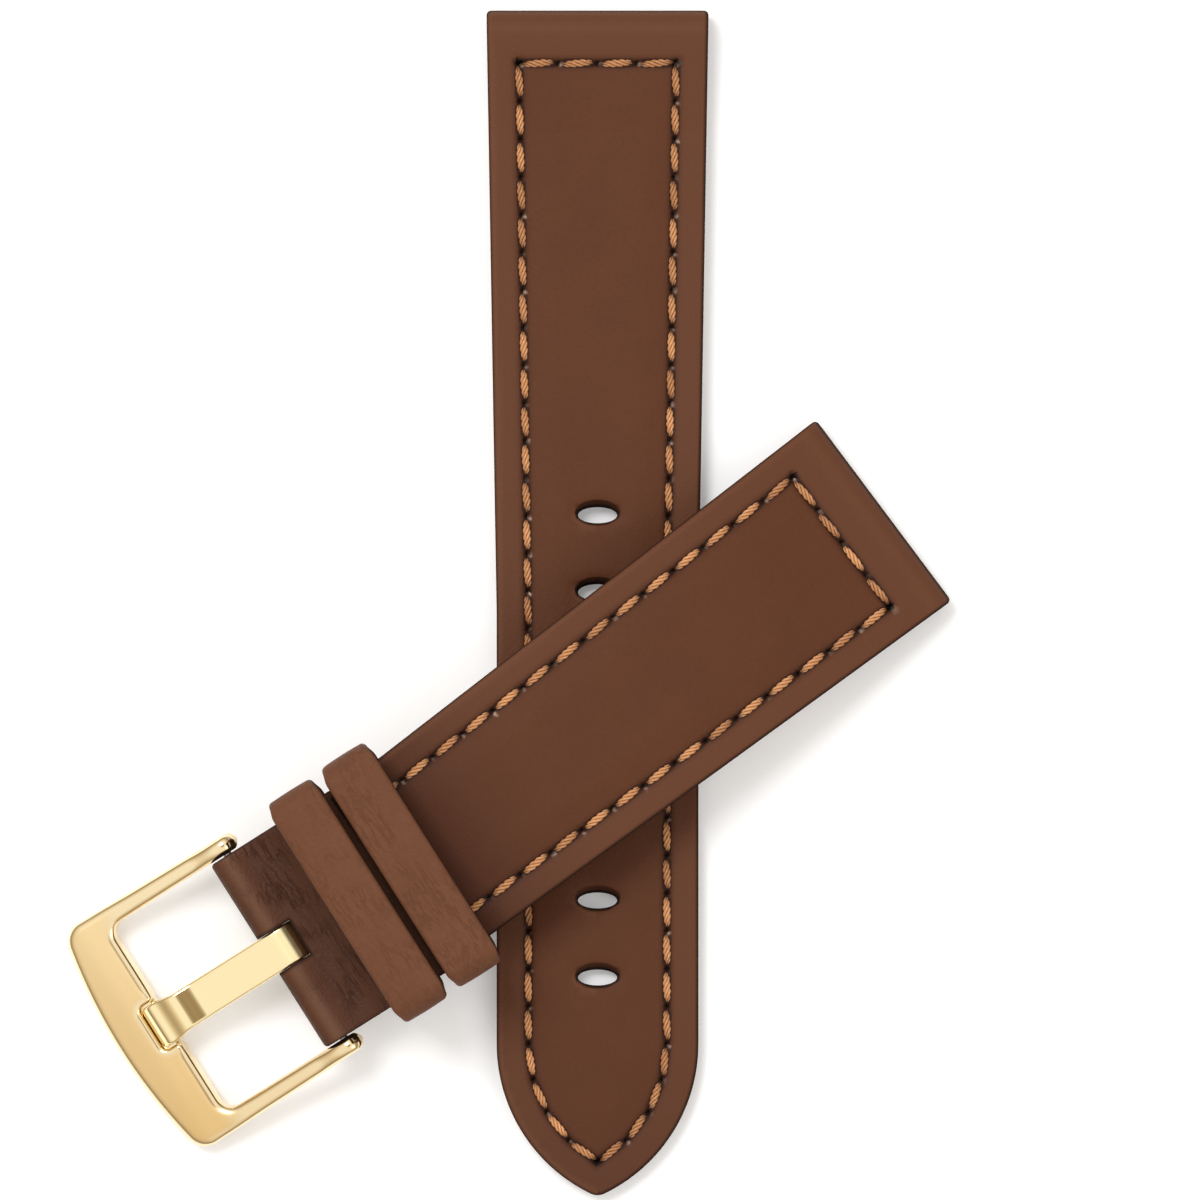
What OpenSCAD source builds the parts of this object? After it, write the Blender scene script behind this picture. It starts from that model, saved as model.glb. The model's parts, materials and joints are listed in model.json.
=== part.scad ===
// Two-part leather watch strap with a pin buckle, laid out on a table.
// The long strap lies flat, and the short strap arches over it with its buckle end to the left.
// Both straps are drawn from the lug end, x = 0, towards the free end, and then set in place.

/* [Long strap] */
// Length from the lug end to the tip
long_len = 118; // [110:1:124]
// Width at the lug end
long_lug_w = 22.1; // [21:0.1:23]
// Width of the tail
tail_w = 20.1; // [19.5:0.1:20.7]
// Distance from the lug end over which the width tapers
long_taper = 60; // [40:1:70]
// Thickness just past the lug end
long_t = 3.4; // [3.1:0.1:3.5]
// Thickness at the tip
tail_t = 2.5; // [2.4:0.1:2.9]
// Radius of each of the two arcs that make the pointed tip
tip_arc_r = 16.6; // [14:0.2:19]
// Rounding at the very tip
tip_round = 1.6; // [1:0.1:2.5]

/* [Short strap] */
// Length of the padded part, from the lug end to where the tab starts
padded_len = 61.2; // [59:0.2:64]
// Width at the lug end
short_lug_w = 22.5; // [21.5:0.1:23]
// Width where the tab starts
short_end_w = 20.5; // [19.5:0.1:21]
// Thickness of the padded part
short_t = 3.4; // [3.1:0.1:3.7]
// Radius of the arch, on the underside
arch_r = 130; // [122:1:138]
// Distance from the lug end to the top of the arch
arch_at = 45.3; // [44:0.1:47]

/* [Tab] */
// Length of the tab, from its start to the spring bar
tab_len = 12.6; // [12:0.1:13.6]
// Space between the tab and each arm of the buckle
tab_gap = 0.3; // [0.2:0.05:0.5]
// Thickness of the tab where it is thinnest
tab_t = 2.6; // [2.2:0.1:3]
// Leather round the spring bar
tab_wrap = 1.1; // [1:0.05:1.3]
// Downward slope of the tab, in degrees
tab_pitch = 10; // [8:0.5:12]
// Reach of the tongue's slot, measured from the fold
slot_len = 4; // [3.9:0.1:4.4]

/* [Layout] */
// Distance from the long strap's lug end to the crossing
cross_long = 71.1; // [68:0.1:74]
// Distance from the short strap's lug end to the crossing
cross_short = 35.6; // [34:0.1:37]
// Angle between the two straps, in degrees
cross_angle = 53.2; // [50:0.2:57]
// Sideways turn of the buckle end against the padded part, in degrees
tab_turn = 4.5; // [2:0.5:6]

/* [Leather] */
// Thickness of the upper leather
upper_t = 1.1; // [1:0.05:1.2]
// Thickness of the lining leather
lining_t = 0.9; // [0.8:0.05:1]
// Thickness of the fold round the lug bar
lug_t = 4.2; // [4:0.1:4.5]
// Radius of the bore for the lug bar
lug_bore_r = 1; // [0.8:0.05:1.1]
// Distance from the lug end at which the fold has thinned down to the strap
lug_taper = 12; // [10:0.5:15]
// Length of the flap that the upper leather turns under at the lug end
flap_len = 8; // [7:0.5:10]
// Chamfer on the corners of the lug ends
lug_corner = 0.5; // [0.3:0.1:0.8]

/* [Stitching] */
// Distance of the stitch rows from the edge
stitch_inset = 3.15; // [2.9:0.05:3.4]
// Distance of the cross row from the lug end
lug_row = 5.3; // [5:0.1:5.6]
// Step from one stitch to the next
stitch_pitch = 3.75; // [3.4:0.05:4.2]
// Space between two stitches
stitch_gap = 0.85; // [0.7:0.05:1]
// Space between the stitches and the core
core_gap = 0.35; // [0.25:0.05:0.6]
// Thread width
thread_w = 0.85; // [0.7:0.05:0.95]
// Height of a stitch above the leather
thread_rise = 0.3; // [0.2:0.05:0.4]

/* [Adjusting holes] */
// Number of holes
hole_count = 7; // [5:1:7]
// Distance from the lug end to the first hole
hole_first = 50; // [46:0.5:52]
// Step from hole to hole
hole_pitch = 7.68; // [6:0.02:7.8]
// Hole size across the strap
hole_across = 4.6; // [4:0.1:5.5]
// Hole size along the strap
hole_along = 2.5; // [2:0.1:3]

/* [Keepers] */
// Size of a keeper along the strap
keeper_w = 5.5; // [4.5:0.1:5.7]
// Space between the strap's end and a keeper's inside, on each side
keeper_side = 1.3; // [1:0.1:1.8]
// Leather thickness of a keeper
keeper_t = 1.2; // [1:0.1:1.3]
// Room inside a keeper for the tail of the long strap
keeper_room = 5.4; // [5.2:0.1:6]
// Outer radius of a keeper's corners
keeper_round = 2; // [1.6:0.1:2.6]
// Space between the two keepers
keeper_gap = 0.5; // [0.4:0.05:0.8]

/* [Buckle] */
// Width between the arms
buckle_in = 21.7; // [21.4:0.1:22]
// Width of an arm where it meets the outer bar
arm_w = 2.05; // [1.85:0.05:2.3]
// Reach from the spring bar to the outer edge
buckle_reach = 20.2; // [19.4:0.1:21.4]
// Width of the outer bar at its middle
bar_w = 5.9; // [5:0.1:6.2]
// Bulge of the outer bar's edge
bar_bow = 1.6; // [1:0.1:2]
// Thickness of the frame
frame_t = 2.4; // [2.2:0.1:2.8]
// Radius of the ears round the spring bar
ear_r = 1.6; // [1.4:0.05:1.8]
// Width of the tongue
tongue_w = 3.9; // [3.5:0.1:4.3]
// Thickness of the tongue
tongue_t = 1.1; // [0.9:0.05:1.2]
// Length of the low hump near the tongue's tip
hump_len = 4.8; // [4:0.1:5.5]
// Height of that hump
hump_rise = 0.35; // [0.2:0.05:0.5]
// Wall of the tongue's eye round the spring bar
tongue_eye = 0.8; // [0.7:0.05:0.9]

/* [Spring bar] */
// Outer radius of the tube
tube_r = 0.9; // [0.8:0.02:0.94]
// Wall of the tube
tube_wall = 0.2; // [0.15:0.01:0.25]
// Space between the tube's end and each arm of the buckle
tube_gap = 0.5; // [0.4:0.05:0.7]
// Radius of a plunger's tip
pin_r = 0.45; // [0.4:0.01:0.5]
// Length of a plunger's shoulder inside the tube
shoulder_len = 1.6; // [1.2:0.1:2]
// Depth of an ear's hole
ear_hole = 1.1; // [0.9:0.05:1.2]
// Turns of the coil spring
spring_turns = 14; // [8:1:18]

/* [Hidden] */

leather = [0.40, 0.26, 0.19];
lining_colour = [0.55, 0.42, 0.31];
core_colour = [0.78, 0.70, 0.58];
thread_colour = [0.75, 0.54, 0.34];
gold = [0.86, 0.71, 0.46];
steel = [0.72, 0.72, 0.74];

$fn = 48;
fine = 360;      // sides of the large arcs
reach = 60;      // longer than anything it cuts, on either side
touch = 0.04;    // radial clearance of a bar in its bore
slack = 0.25;    // clearance under the keeper that slides

// Sizes that follow their neighbours
tab_w = buckle_in - 2 * tab_gap;
tube_len = buckle_in - 2 * tube_gap;
buckle_out = buckle_in + 2 * arm_w;
keeper_inside = short_end_w + 2 * keeper_side;
keeper_outer = keeper_inside + 2 * keeper_t;

// Long strap
lug_r = lug_t / 2;
long_tip_c = tip_arc_r - tail_w / 2;                       // the tip arcs' centres, off the axis
tip_run = sqrt(pow(tip_arc_r - tip_round, 2) - pow(long_tip_c, 2));
tip_start = long_len - tip_round - tip_run;                // where the sides turn into the arcs
core_inset = stitch_inset + thread_w / 2 + core_gap;
core_from = lug_row + thread_w / 2 + core_gap;
core_to = tip_start - core_gap;

// Short strap
arch_mid_r = arch_r + short_t / 2;
lug_slope = asin((arch_at - lug_r) / arch_mid_r);
lug_end_a = 88 + lug_slope;                                // where the fold's round ends on top
arch_z = lug_r - arch_mid_r * cos(lug_slope);              // height of the arch's centre
tab_z = arch_z + sqrt(pow(arch_mid_r, 2) - pow(padded_len - arch_at, 2));
tab_lap = 1.5;                                             // how far the tab runs into the padded part
end_gap = 0.5;                                             // from there to the lining's end
lining_end = padded_len - tab_lap - end_gap;
short_core_end = lining_end - keeper_w / 2 - end_gap;
row_end = padded_len - keeper_gap / 2 - keeper_w / 2;      // the side rows end under the free keeper

// Tab and buckle
bar_bore_r = tube_r + touch;
fold_r = bar_bore_r + tab_wrap;
slot_side = 0.1;                                           // beside the tongue in its slot
tab_flat = keeper_gap / 2 + keeper_w + slack;              // the tab keeps its thickness up to here
tab_thin_run = 2;
tab_thin = tab_flat + tab_thin_run;
bar_z = tab_z - tab_len * sin(tab_pitch);
frame_h = frame_t / 2;
buckle_pitch = asin(bar_z / norm([buckle_reach, frame_h])) - atan(frame_h / buckle_reach);

// Stitching
groove = 0.35;                                             // depth of the pressed groove
thread_room = 0.03;                                        // on either side of the thread in it
groove_w = thread_w + 2 * thread_room;
thread_thin = thread_w - 0.1;                              // where it dives between two stitches
lower_thread = 0.03;                                       // the lower thread stays inside its groove

// Places on the table, from the crossing, before the whole is centred
long_turn = cross_angle + tab_turn + 180;
short_turn = tab_turn + 180;
tab_x = (padded_len - cross_short) * cos(short_turn);
tab_y = (padded_len - cross_short) * sin(short_turn);
lug_side_x = -(cross_long - lug_corner) * cos(long_turn) + long_half(lug_corner) * abs(sin(long_turn));
lug_side_y = -cross_long * sin(long_turn) + (long_half(0) - lug_corner) * abs(cos(long_turn));
tip_low_y = (long_len - tip_round - cross_long) * sin(long_turn) - tip_round;
buckle_low_x = tab_x - tab_len * cos(tab_pitch) - buckle_reach * cos(buckle_pitch);
middle = [(lug_side_x + buckle_low_x) / 2, (lug_side_y + tip_low_y) / 2, 0];

function long_half(x) = lookup(x, [[0, long_lug_w / 2], [long_taper, tail_w / 2]]);
function short_half(x) = lookup(x, [[0, short_lug_w / 2], [padded_len, short_end_w / 2]]);
function long_top(x) = lookup(x, [[lug_r, lug_t], [lug_taper, long_t], [long_len, tail_t]]);
function arch_point(r, x) = [x, arch_z + sqrt(r * r - pow(x - arch_at, 2))];
function steps(length) = max(1, round(length / stitch_pitch));

// Holes of a row from x = a to x = b, on side -1 or 1 of the strap
function long_row(a, b, side) = [
    for (i = [0 : steps(abs(b - a))])
        let (x = a + (b - a) * i / steps(abs(b - a))) [x, side * (long_half(x) - stitch_inset)]
];
function short_row(a, b, side) = [
    for (i = [0 : steps(abs(b - a))])
        let (x = a + (b - a) * i / steps(abs(b - a))) [x, side * (short_half(x) - stitch_inset)]
];
// Holes across the lug end, from side 1 to side -1
function cross_row(half) = [
    for (i = [0 : steps(2 * half)]) [lug_row, half - 2 * half * i / steps(2 * half)]
];
// Holes round one side of the pointed tip, from the side row to the point
tip_row_r = tip_arc_r - stitch_inset;
tip_row_end = acos(long_tip_c / tip_row_r);
tip_steps = steps(tip_row_r * tip_row_end * PI / 180);
function tip_row(side) = [
    for (i = [0 : tip_steps])
        let (a = tip_row_end * i / tip_steps)
        [tip_start + tip_row_r * sin(a), side * (tip_row_r * cos(a) - long_tip_c)]
];
// Points of an arc, for the rounds that carry nothing
function arc(centre, r, from, to, count = 12) = [
    for (i = [0 : count]) let (a = from + (to - from) * i / count) centre + r * [cos(a), sin(a)]
];
// A closed row of points without its repeats, and the same row drawn in or out
function no_repeats(path) = [
    for (i = [0 : len(path) - 1])
        if (norm(path[i] - path[(i + 1) % len(path)]) > thread_room) path[i]
];
function square_to(a, b) = let (d = b - a) [-d[1], d[0]] / norm(d);
function moved_out(path, by) = let (n = len(path)) [
    for (i = [0 : n - 1])
        let (
            m = square_to(path[(i + n - 1) % n], path[i]) + square_to(path[i], path[(i + 1) % n])
        )
        path[i] + m * 2 * by / (m * m)
];
function short_loop(inset, from, to) = [
    [to, short_half(to) - inset], [from, short_half(from) - inset],
    [from, inset - short_half(from)], [to, inset - short_half(to)]
];
// Lines along the short strap at a height over its top, and over its underside
line_steps = 24;
function arch_line(r) = [
    for (i = [0 : line_steps]) arch_point(r, lug_taper + (padded_len - lug_taper) * i / line_steps)
];
function short_top_line(h) =
    concat([[lug_r, lug_r] + (lug_r + h) * [cos(lug_end_a), sin(lug_end_a)]], arch_line(arch_r + short_t + h));
function short_bottom_line(h) =
    concat([[lug_r, lug_r] - (lug_r - h) * [cos(lug_end_a), sin(lug_end_a)]], arch_line(arch_r + h));
function backwards(list) = [for (i = [len(list) - 1 : -1 : 0]) list[i]];

long_path = concat(
    cross_row(long_half(lug_row) - stitch_inset),
    long_row(lug_row, tip_start, -1),
    tip_row(-1),
    backwards(tip_row(1)),
    long_row(tip_start, lug_row, 1)
);
short_path = concat(
    short_row(row_end, lug_row, 1),
    cross_row(short_half(lug_row) - stitch_inset),
    short_row(lug_row, row_end, -1)
);

// Placing

module long_place() {
    translate(-middle) rotate([0, 0, long_turn]) translate([-cross_long, 0, 0]) children();
}

module short_place() {
    translate(-middle) rotate([0, 0, short_turn]) translate([-cross_short, 0, 0]) children();
}

// From the middle of the tab's start, level, with x towards the buckle
module buckle_end_place() {
    translate([tab_x, tab_y, tab_z] - middle) rotate([0, 0, 180]) children();
}

module tab_place() {
    buckle_end_place() rotate([0, tab_pitch, 0]) children();
}

module spring_bar_place() {
    tab_place() translate([tab_len, 0, 0]) children();
}

module buckle_place() {
    spring_bar_place() rotate([0, buckle_pitch - tab_pitch, 0]) children();
}

// Seated on the arch's underside over x, square to the buckle end
module free_keeper_place(x) {
    short_place()
        translate([arch_at, 0, arch_z]) rotate([0, asin((x - arch_at) / arch_r), 0])
        translate([0, 0, arch_r]) rotate([0, 0, -tab_turn]) children();
}

// A side view, x along and y up, made solid across the strap
module across(width = reach) {
    rotate([90, 0, 0]) linear_extrude(height = width, center = true) children();
}

module upright() {
    translate([0, 0, -reach / 2]) linear_extrude(height = reach) children();
}

// A round bar across the strap
module cross_bar(r, length) {
    rotate([90, 0, 0]) cylinder(r = r, h = length, center = true);
}

module capsule(length, width) {
    square([length - width, width], center = true);
    for (end = [-1, 1])
        translate([end * (length - width) / 2, 0]) circle(d = width, $fn = 24);
}

// Long strap, side and plan

module long_side(grow = 0) {
    polygon(concat(
        arc([lug_r, lug_r], lug_r + grow, 270, 90, 24),
        [[lug_taper, long_t + grow], [long_len, tail_t + grow], [long_len, -grow]]
    ));
}

module long_plan() {
    polygon([
        for (side = [-1, 1])
            each (side < 0
                ? [
                    [0, -long_half(0) + lug_corner],
                    [lug_corner, -long_half(lug_corner)],
                    [long_taper, -tail_w / 2],
                    [tip_start, -tail_w / 2]
                ]
                : [
                    [tip_start, tail_w / 2],
                    [long_taper, tail_w / 2],
                    [lug_corner, long_half(lug_corner)],
                    [0, long_half(0) - lug_corner]
                ])
    ]);
    intersection() {
        both_arcs(tip_arc_r);
        translate([tip_start, -tail_w]) square([tip_run * tip_arc_r / (tip_arc_r - tip_round), 2 * tail_w]);
    }
    translate([tip_start + tip_run, 0]) circle(tip_round);
}

// The pointed shape between the two arcs of the tip
module both_arcs(r) {
    intersection() {
        translate([tip_start, long_tip_c]) circle(r, $fn = fine);
        translate([tip_start, -long_tip_c]) circle(r, $fn = fine);
    }
}

module holes_plan() {
    for (i = [0 : hole_count - 1])
        translate([hole_first + i * hole_pitch, 0]) rotate(90) capsule(hole_across, hole_along);
}

// The core lies inside the stitch rows
module core_plan(from, to, half_from, half_to) {
    polygon([
        [from, -half_from + core_inset],
        [to, -half_to + core_inset],
        [to, half_to - core_inset],
        [from, half_from - core_inset]
    ]);
}

module long_core_shape() {
    intersection() {
        across() polygon([
            [core_from, lining_t],
            [core_from, long_top(core_from) - upper_t],
            [lug_taper, long_t - upper_t],
            [core_to, long_top(core_to) - upper_t],
            [core_to, lining_t]
        ]);
        upright() core_plan(core_from, core_to, long_half(long_taper), long_half(core_to));
    }
}

module long_lining_shape() {
    intersection() {
        across() translate([flap_len, 0]) square([long_len, lining_t]);
        upright() long_plan();
    }
}

// Short strap, side and plan

module short_side(grow = 0) {
    polygon(concat(
        [arch_point(arch_r - grow, lug_taper)],
        arc([lug_r, lug_r], lug_r + grow, 180 + lug_end_a, lug_end_a, 24),
        [arch_point(arch_r + short_t + grow, lug_taper)]
    ));
    arch_layer(-grow, short_t + grow, lug_taper - 1, padded_len);
}

// A layer of the arch between two heights over its underside, from x = a to x = b
module arch_layer(low, high, a, b) {
    intersection() {
        translate([arch_at, arch_z]) difference() {
            circle(arch_r + high, $fn = fine);
            circle(arch_r + low, $fn = fine);
        }
        translate([a, -2]) square([b - a, 30]);
    }
}

module short_plan() {
    polygon([
        [0, -short_half(0) + lug_corner],
        [lug_corner, -short_half(lug_corner)],
        [padded_len, -short_end_w / 2],
        [padded_len, short_end_w / 2],
        [lug_corner, short_half(lug_corner)],
        [0, short_half(0) - lug_corner]
    ]);
}

module short_core_shape() {
    intersection() {
        across() arch_layer(lining_t, short_t - upper_t, lug_taper, short_core_end);
        upright() core_plan(lug_taper, short_core_end, short_half(short_core_end), short_half(short_core_end));
    }
}

module short_lining_shape() {
    intersection() {
        across() arch_layer(0, lining_t, lug_taper, lining_end);
        upright() short_plan();
    }
}

// Threads: the plan of the rows, and the layers that they lie in

module stitches(path) {
    for (i = [0 : len(path) - 2]) {
        a = path[i];
        b = path[i + 1];
        if (norm(b - a) > stitch_gap + thread_w)
            translate((a + b) / 2) rotate(atan2(b[1] - a[1], b[0] - a[0]))
                capsule(norm(b - a) - stitch_gap, thread_w);
    }
}

// The line of the rows, which lies in a pressed groove
module long_seam(width) {
    row = no_repeats(long_path);
    difference() {
        polygon(moved_out(row, -width / 2));
        polygon(moved_out(row, width / 2));
    }
}

module short_seam(width) {
    difference() {
        polygon(short_loop(stitch_inset - width / 2, lug_row - width / 2, row_end));
        polygon(short_loop(stitch_inset + width / 2, lug_row + width / 2, row_end + 1));
    }
}

// A row's plan cut to a layer of the strap
module in_layer() {
    intersection() {
        across() children(0);
        upright() children(1);
    }
}

module long_upper_layer(low, high) {
    difference() {
        long_side(high);
        long_side(low);
        translate([0, -reach + lug_r]) square([2 * reach + long_len, reach]);
        translate([-reach, -reach]) square([reach + lug_r, 2 * reach]);
    }
}

module short_upper_layer(low, high) {
    polygon(concat(short_top_line(high), backwards(short_top_line(low))));
}

module short_lower_layer(low, high) {
    polygon(concat(short_bottom_line(high), backwards(short_bottom_line(low))));
}

// Sub-parts of the long strap

module long_upper() {
    color(leather) long_place() difference() {
        intersection() {
            across() long_side();
            upright() long_plan();
        }
        long_lining_shape();
        long_core_shape();
        upright() holes_plan();
        translate([lug_r, 0, lug_r]) cross_bar(lug_bore_r, reach);
        in_layer() {
            long_upper_layer(-groove, thread_rise + 1);
            long_seam(groove_w);
        }
        translate([0, 0, -1]) linear_extrude(height = 1 + groove) long_seam(groove_w);
    }
}

module long_lining() {
    color(lining_colour) long_place() difference() {
        long_lining_shape();
        upright() holes_plan();
        translate([0, 0, -1]) linear_extrude(height = 1 + groove) long_seam(groove_w);
    }
}

module long_core() {
    color(core_colour) long_place() difference() {
        long_core_shape();
        upright() holes_plan();
    }
}

module long_thread_top() {
    color(thread_colour) long_place() {
        in_layer() {
            long_upper_layer(-groove, -groove / 3);
            long_seam(thread_thin);
        }
        in_layer() {
            long_upper_layer(-groove, thread_rise);
            stitches(long_path);
        }
    }
}

module long_thread_bottom() {
    color(thread_colour) long_place() {
        translate([0, 0, groove / 3]) linear_extrude(height = groove * 2 / 3) long_seam(thread_thin);
        translate([0, 0, lower_thread]) linear_extrude(height = groove - lower_thread) stitches(long_path);
    }
}

// Sub-parts of the short strap

module tab_side() {
    top = [[-tab_lap, short_t / 2], [tab_flat, short_t / 2], [tab_thin, tab_t / 2]];
    polygon(concat(
        top,
        arc([tab_len, 0], fold_r, 100, -100, 24),
        [for (p = backwards(top)) [p[0], -p[1]]]
    ));
}

module tab_shape() {
    difference() {
        across(tab_w) tab_side();
        translate([tab_len + fold_r - slot_len, -tongue_w / 2 - slot_side, -reach / 2])
            cube([slot_len + 1, tongue_w + 2 * slot_side, reach]);
        translate([tab_len, 0, 0]) cross_bar(bar_bore_r, reach);
    }
}

module short_upper() {
    color(leather) difference() {
        union() {
            short_place() intersection() {
                across() short_side();
                upright() short_plan();
            }
            tab_place() tab_shape();
        }
        short_place() {
            short_lining_shape();
            short_core_shape();
            translate([lug_r, 0, lug_r]) cross_bar(lug_bore_r, reach);
            in_layer() {
                short_upper_layer(-groove, thread_rise + 1);
                short_seam(groove_w);
            }
            in_layer() {
                short_lower_layer(-1, groove);
                short_seam(groove_w);
            }
        }
        fixed_keeper_stitches();
    }
}

module short_lining() {
    color(lining_colour) short_place() difference() {
        short_lining_shape();
        in_layer() {
            short_lower_layer(-1, groove);
            short_seam(groove_w);
        }
    }
}

module short_core() {
    color(core_colour) short_place() short_core_shape();
}

module short_thread_top() {
    color(thread_colour) short_place() {
        in_layer() {
            short_upper_layer(-groove, -groove / 3);
            short_seam(thread_thin);
        }
        in_layer() {
            short_upper_layer(-groove, thread_rise);
            stitches(short_path);
        }
    }
}

module short_thread_bottom() {
    color(thread_colour) short_place() {
        in_layer() {
            short_lower_layer(groove / 3, groove);
            short_seam(thread_thin);
        }
        in_layer() {
            short_lower_layer(lower_thread, groove);
            stitches(short_path);
        }
    }
}

// Keepers

// A loop round the strap: z = 0 is its inside face underneath
module keeper_loop(room) {
    rotate([90, 0, 90]) linear_extrude(height = keeper_w, center = true) difference() {
        translate([-keeper_outer / 2, -keeper_t])
            rounded_box(keeper_outer, room + 2 * keeper_t, keeper_round);
        translate([-keeper_inside / 2, 0]) rounded_box(keeper_inside, room, keeper_round - keeper_t);
    }
}

module rounded_box(w, h, r) {
    translate([r, 0]) square([w - 2 * r, h]);
    translate([0, r]) square([w, h - 2 * r]);
    for (x = [r, w - r])
        for (y = [r, h - r])
            translate([x, y]) circle(r);
}

module fixed_keeper_place() {
    tab_place() translate([keeper_gap / 2 + keeper_w / 2, 0, -short_t / 2]) children();
}

// Two stitches through a keeper's underside, from depth low to height high
keeper_stitch_at = 3;        // off the middle
keeper_stitch_len = 2.8;
keeper_stitch_w = 0.7;
keeper_stitch_in = 0.15;     // how far a stitch lies below the face
keeper_stitch_hold = 0.5;    // how far it reaches into the tab

module keeper_stitches(low, high) {
    for (side = [-1, 1])
        translate([0, side * keeper_stitch_at, low]) linear_extrude(height = high - low)
            rotate(90) capsule(keeper_stitch_len, keeper_stitch_w);
}

module fixed_keeper_stitches() {
    fixed_keeper_place() keeper_stitches(keeper_stitch_in - keeper_t, keeper_stitch_hold);
}

module fixed_keeper() {
    color(leather) difference() {
        fixed_keeper_place() keeper_loop(short_t + keeper_room);
        fixed_keeper_stitches();
    }
}

module fixed_keeper_stitch() {
    color(thread_colour) fixed_keeper_stitches();
}

module free_keeper_stitches() {
    free_keeper_place(row_end) translate([0, 0, -slack]) keeper_stitches(keeper_stitch_in - keeper_t, -keeper_stitch_in);
}

module free_keeper() {
    color(leather) difference() {
        free_keeper_place(row_end) translate([0, 0, -slack]) keeper_loop(short_t + keeper_room + slack);
        free_keeper_stitches();
    }
}

module free_keeper_stitch() {
    color(thread_colour) free_keeper_stitches();
}

// Buckle, drawn from the spring bar outwards

bow_r = (pow(buckle_out / 2, 2) + pow(bar_bow, 2)) / (2 * bar_bow);
bow_x = buckle_reach - bow_r;
corner_r = 2.2;
corner_y = buckle_out / 2 - corner_r;
corner_x = bow_x + sqrt(pow(bow_r - corner_r, 2) - pow(corner_y, 2));
bar_in = buckle_reach - bar_w;
arm_tip = arm_w - 0.3;     // arm width at the ears
window_r = 1.5;
notch_floor = 0.25;        // height of the notch over the frame's middle plane
notch_depth = 1.9;
notch_side = 0.55;         // beside the tongue in its notch
edge_low = 0.5;            // the outer edge's small chamfer underneath
edge_run = 1.4;            // the outer edge's long slope on top
edge_over = 0.1;           // how far the profile runs past the edge

bow_end = atan2(corner_y, corner_x - bow_x);

module buckle_plan() {
    half = concat(
        [[-ear_r, buckle_in / 2 + arm_tip]],
        arc([corner_x, corner_y], corner_r, 90, bow_end),
        arc([bow_x, 0], bow_r, bow_end, 0, 16)
    );
    polygon(concat(half, [for (p = backwards(half)) if (p[1] > 0.001) [p[0], -p[1]]]));
}

// The window, open towards the spring bar
module window_plan() {
    half = concat(
        [[-reach, buckle_in / 2]],
        arc([bar_in - window_r, buckle_in / 2 - window_r], window_r, 90, 0)
    );
    polygon(concat(half, [for (p = backwards(half)) [p[0], -p[1]]]));
}

module buckle_side() {
    neck = acos(frame_h / ear_r);    // where the ear's round meets the arm
    polygon(concat(
        arc([0, 0], ear_r, 90 - neck, 270 + neck, 24),
        [
            [buckle_reach - edge_low, -frame_h],
            [buckle_reach + edge_over, -frame_h + edge_low],
            [buckle_reach + edge_over, frame_h - edge_run * 0.7],
            [buckle_reach - edge_run, frame_h]
        ]
    ));
}

module buckle_frame() {
    color(gold) buckle_place() difference() {
        intersection() {
            across() buckle_side();
            upright() difference() {
                buckle_plan();
                window_plan();
            }
        }
        translate([bar_in - 1, -tongue_w / 2 - notch_side, notch_floor])
            cube([notch_depth + 1, tongue_w + 2 * notch_side, frame_t]);
        cross_bar(pin_r + touch, buckle_in + 2 * ear_hole);
    }
}

// The tongue's side view: an eye round the tube, a flat bar, a low hump and a tip that dips into the notch
eye_touch = 0.06;            // radial clearance of the eye on the tube
eye_r = tube_r + eye_touch + tongue_eye;
tip_floor = notch_floor + 0.06;
nose_r = 0.4;
tongue_tip = bar_in + notch_depth - 0.15;
hump_steps = 8;
function hump(top) = [
    for (i = [0 : hump_steps])
        [bar_in - hump_len * (1 - i / hump_steps), top + hump_rise * sin(180 * i / hump_steps)]
];

module tongue_side() {
    difference() {
        polygon(concat(
            arc([0, 0], eye_r, -50, -270, 24),
            hump(eye_r),
            arc([tongue_tip - nose_r, tip_floor + nose_r], nose_r, 50, -90, 8),
            backwards(hump(eye_r - tongue_t))
        ));
        circle(tube_r + eye_touch);
    }
}

module buckle_tongue() {
    color(gold) buckle_place() across(tongue_w) tongue_side();
}

// Spring bar

bore_in = tube_r - tube_wall;
rim = 0.4;                                   // the rolled-in rim that keeps a plunger in
shoulder_r = bore_in - touch;
end_room = 0.1;                              // left beyond a pin's tip, and at each end of the spring
pin_out = tube_gap + ear_hole - end_room;
spring_half = tube_len / 2 - rim - shoulder_len - end_room;
wire_r = 0.11;
coil_r = bore_in - wire_r - end_room;

module spring_bar_tube() {
    color(steel) spring_bar_place() difference() {
        cross_bar(tube_r, tube_len);
        cross_bar(bore_in, tube_len - 2 * rim);
        cross_bar(pin_r + touch, tube_len + 1);
    }
}

// A plunger at the end of the tube on side -1 or 1
module plunger(side) {
    color(steel) spring_bar_place() rotate([side * -90, 0, 0]) {
        translate([0, 0, tube_len / 2 - rim - shoulder_len]) cylinder(r = shoulder_r, h = shoulder_len - touch);
        translate([0, 0, tube_len / 2 - rim - end_room])
            cylinder(r = pin_r, h = rim + end_room + pin_out);
    }
}

module spring_bar_plunger_left() plunger(1);
module spring_bar_plunger_right() plunger(-1);

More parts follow.
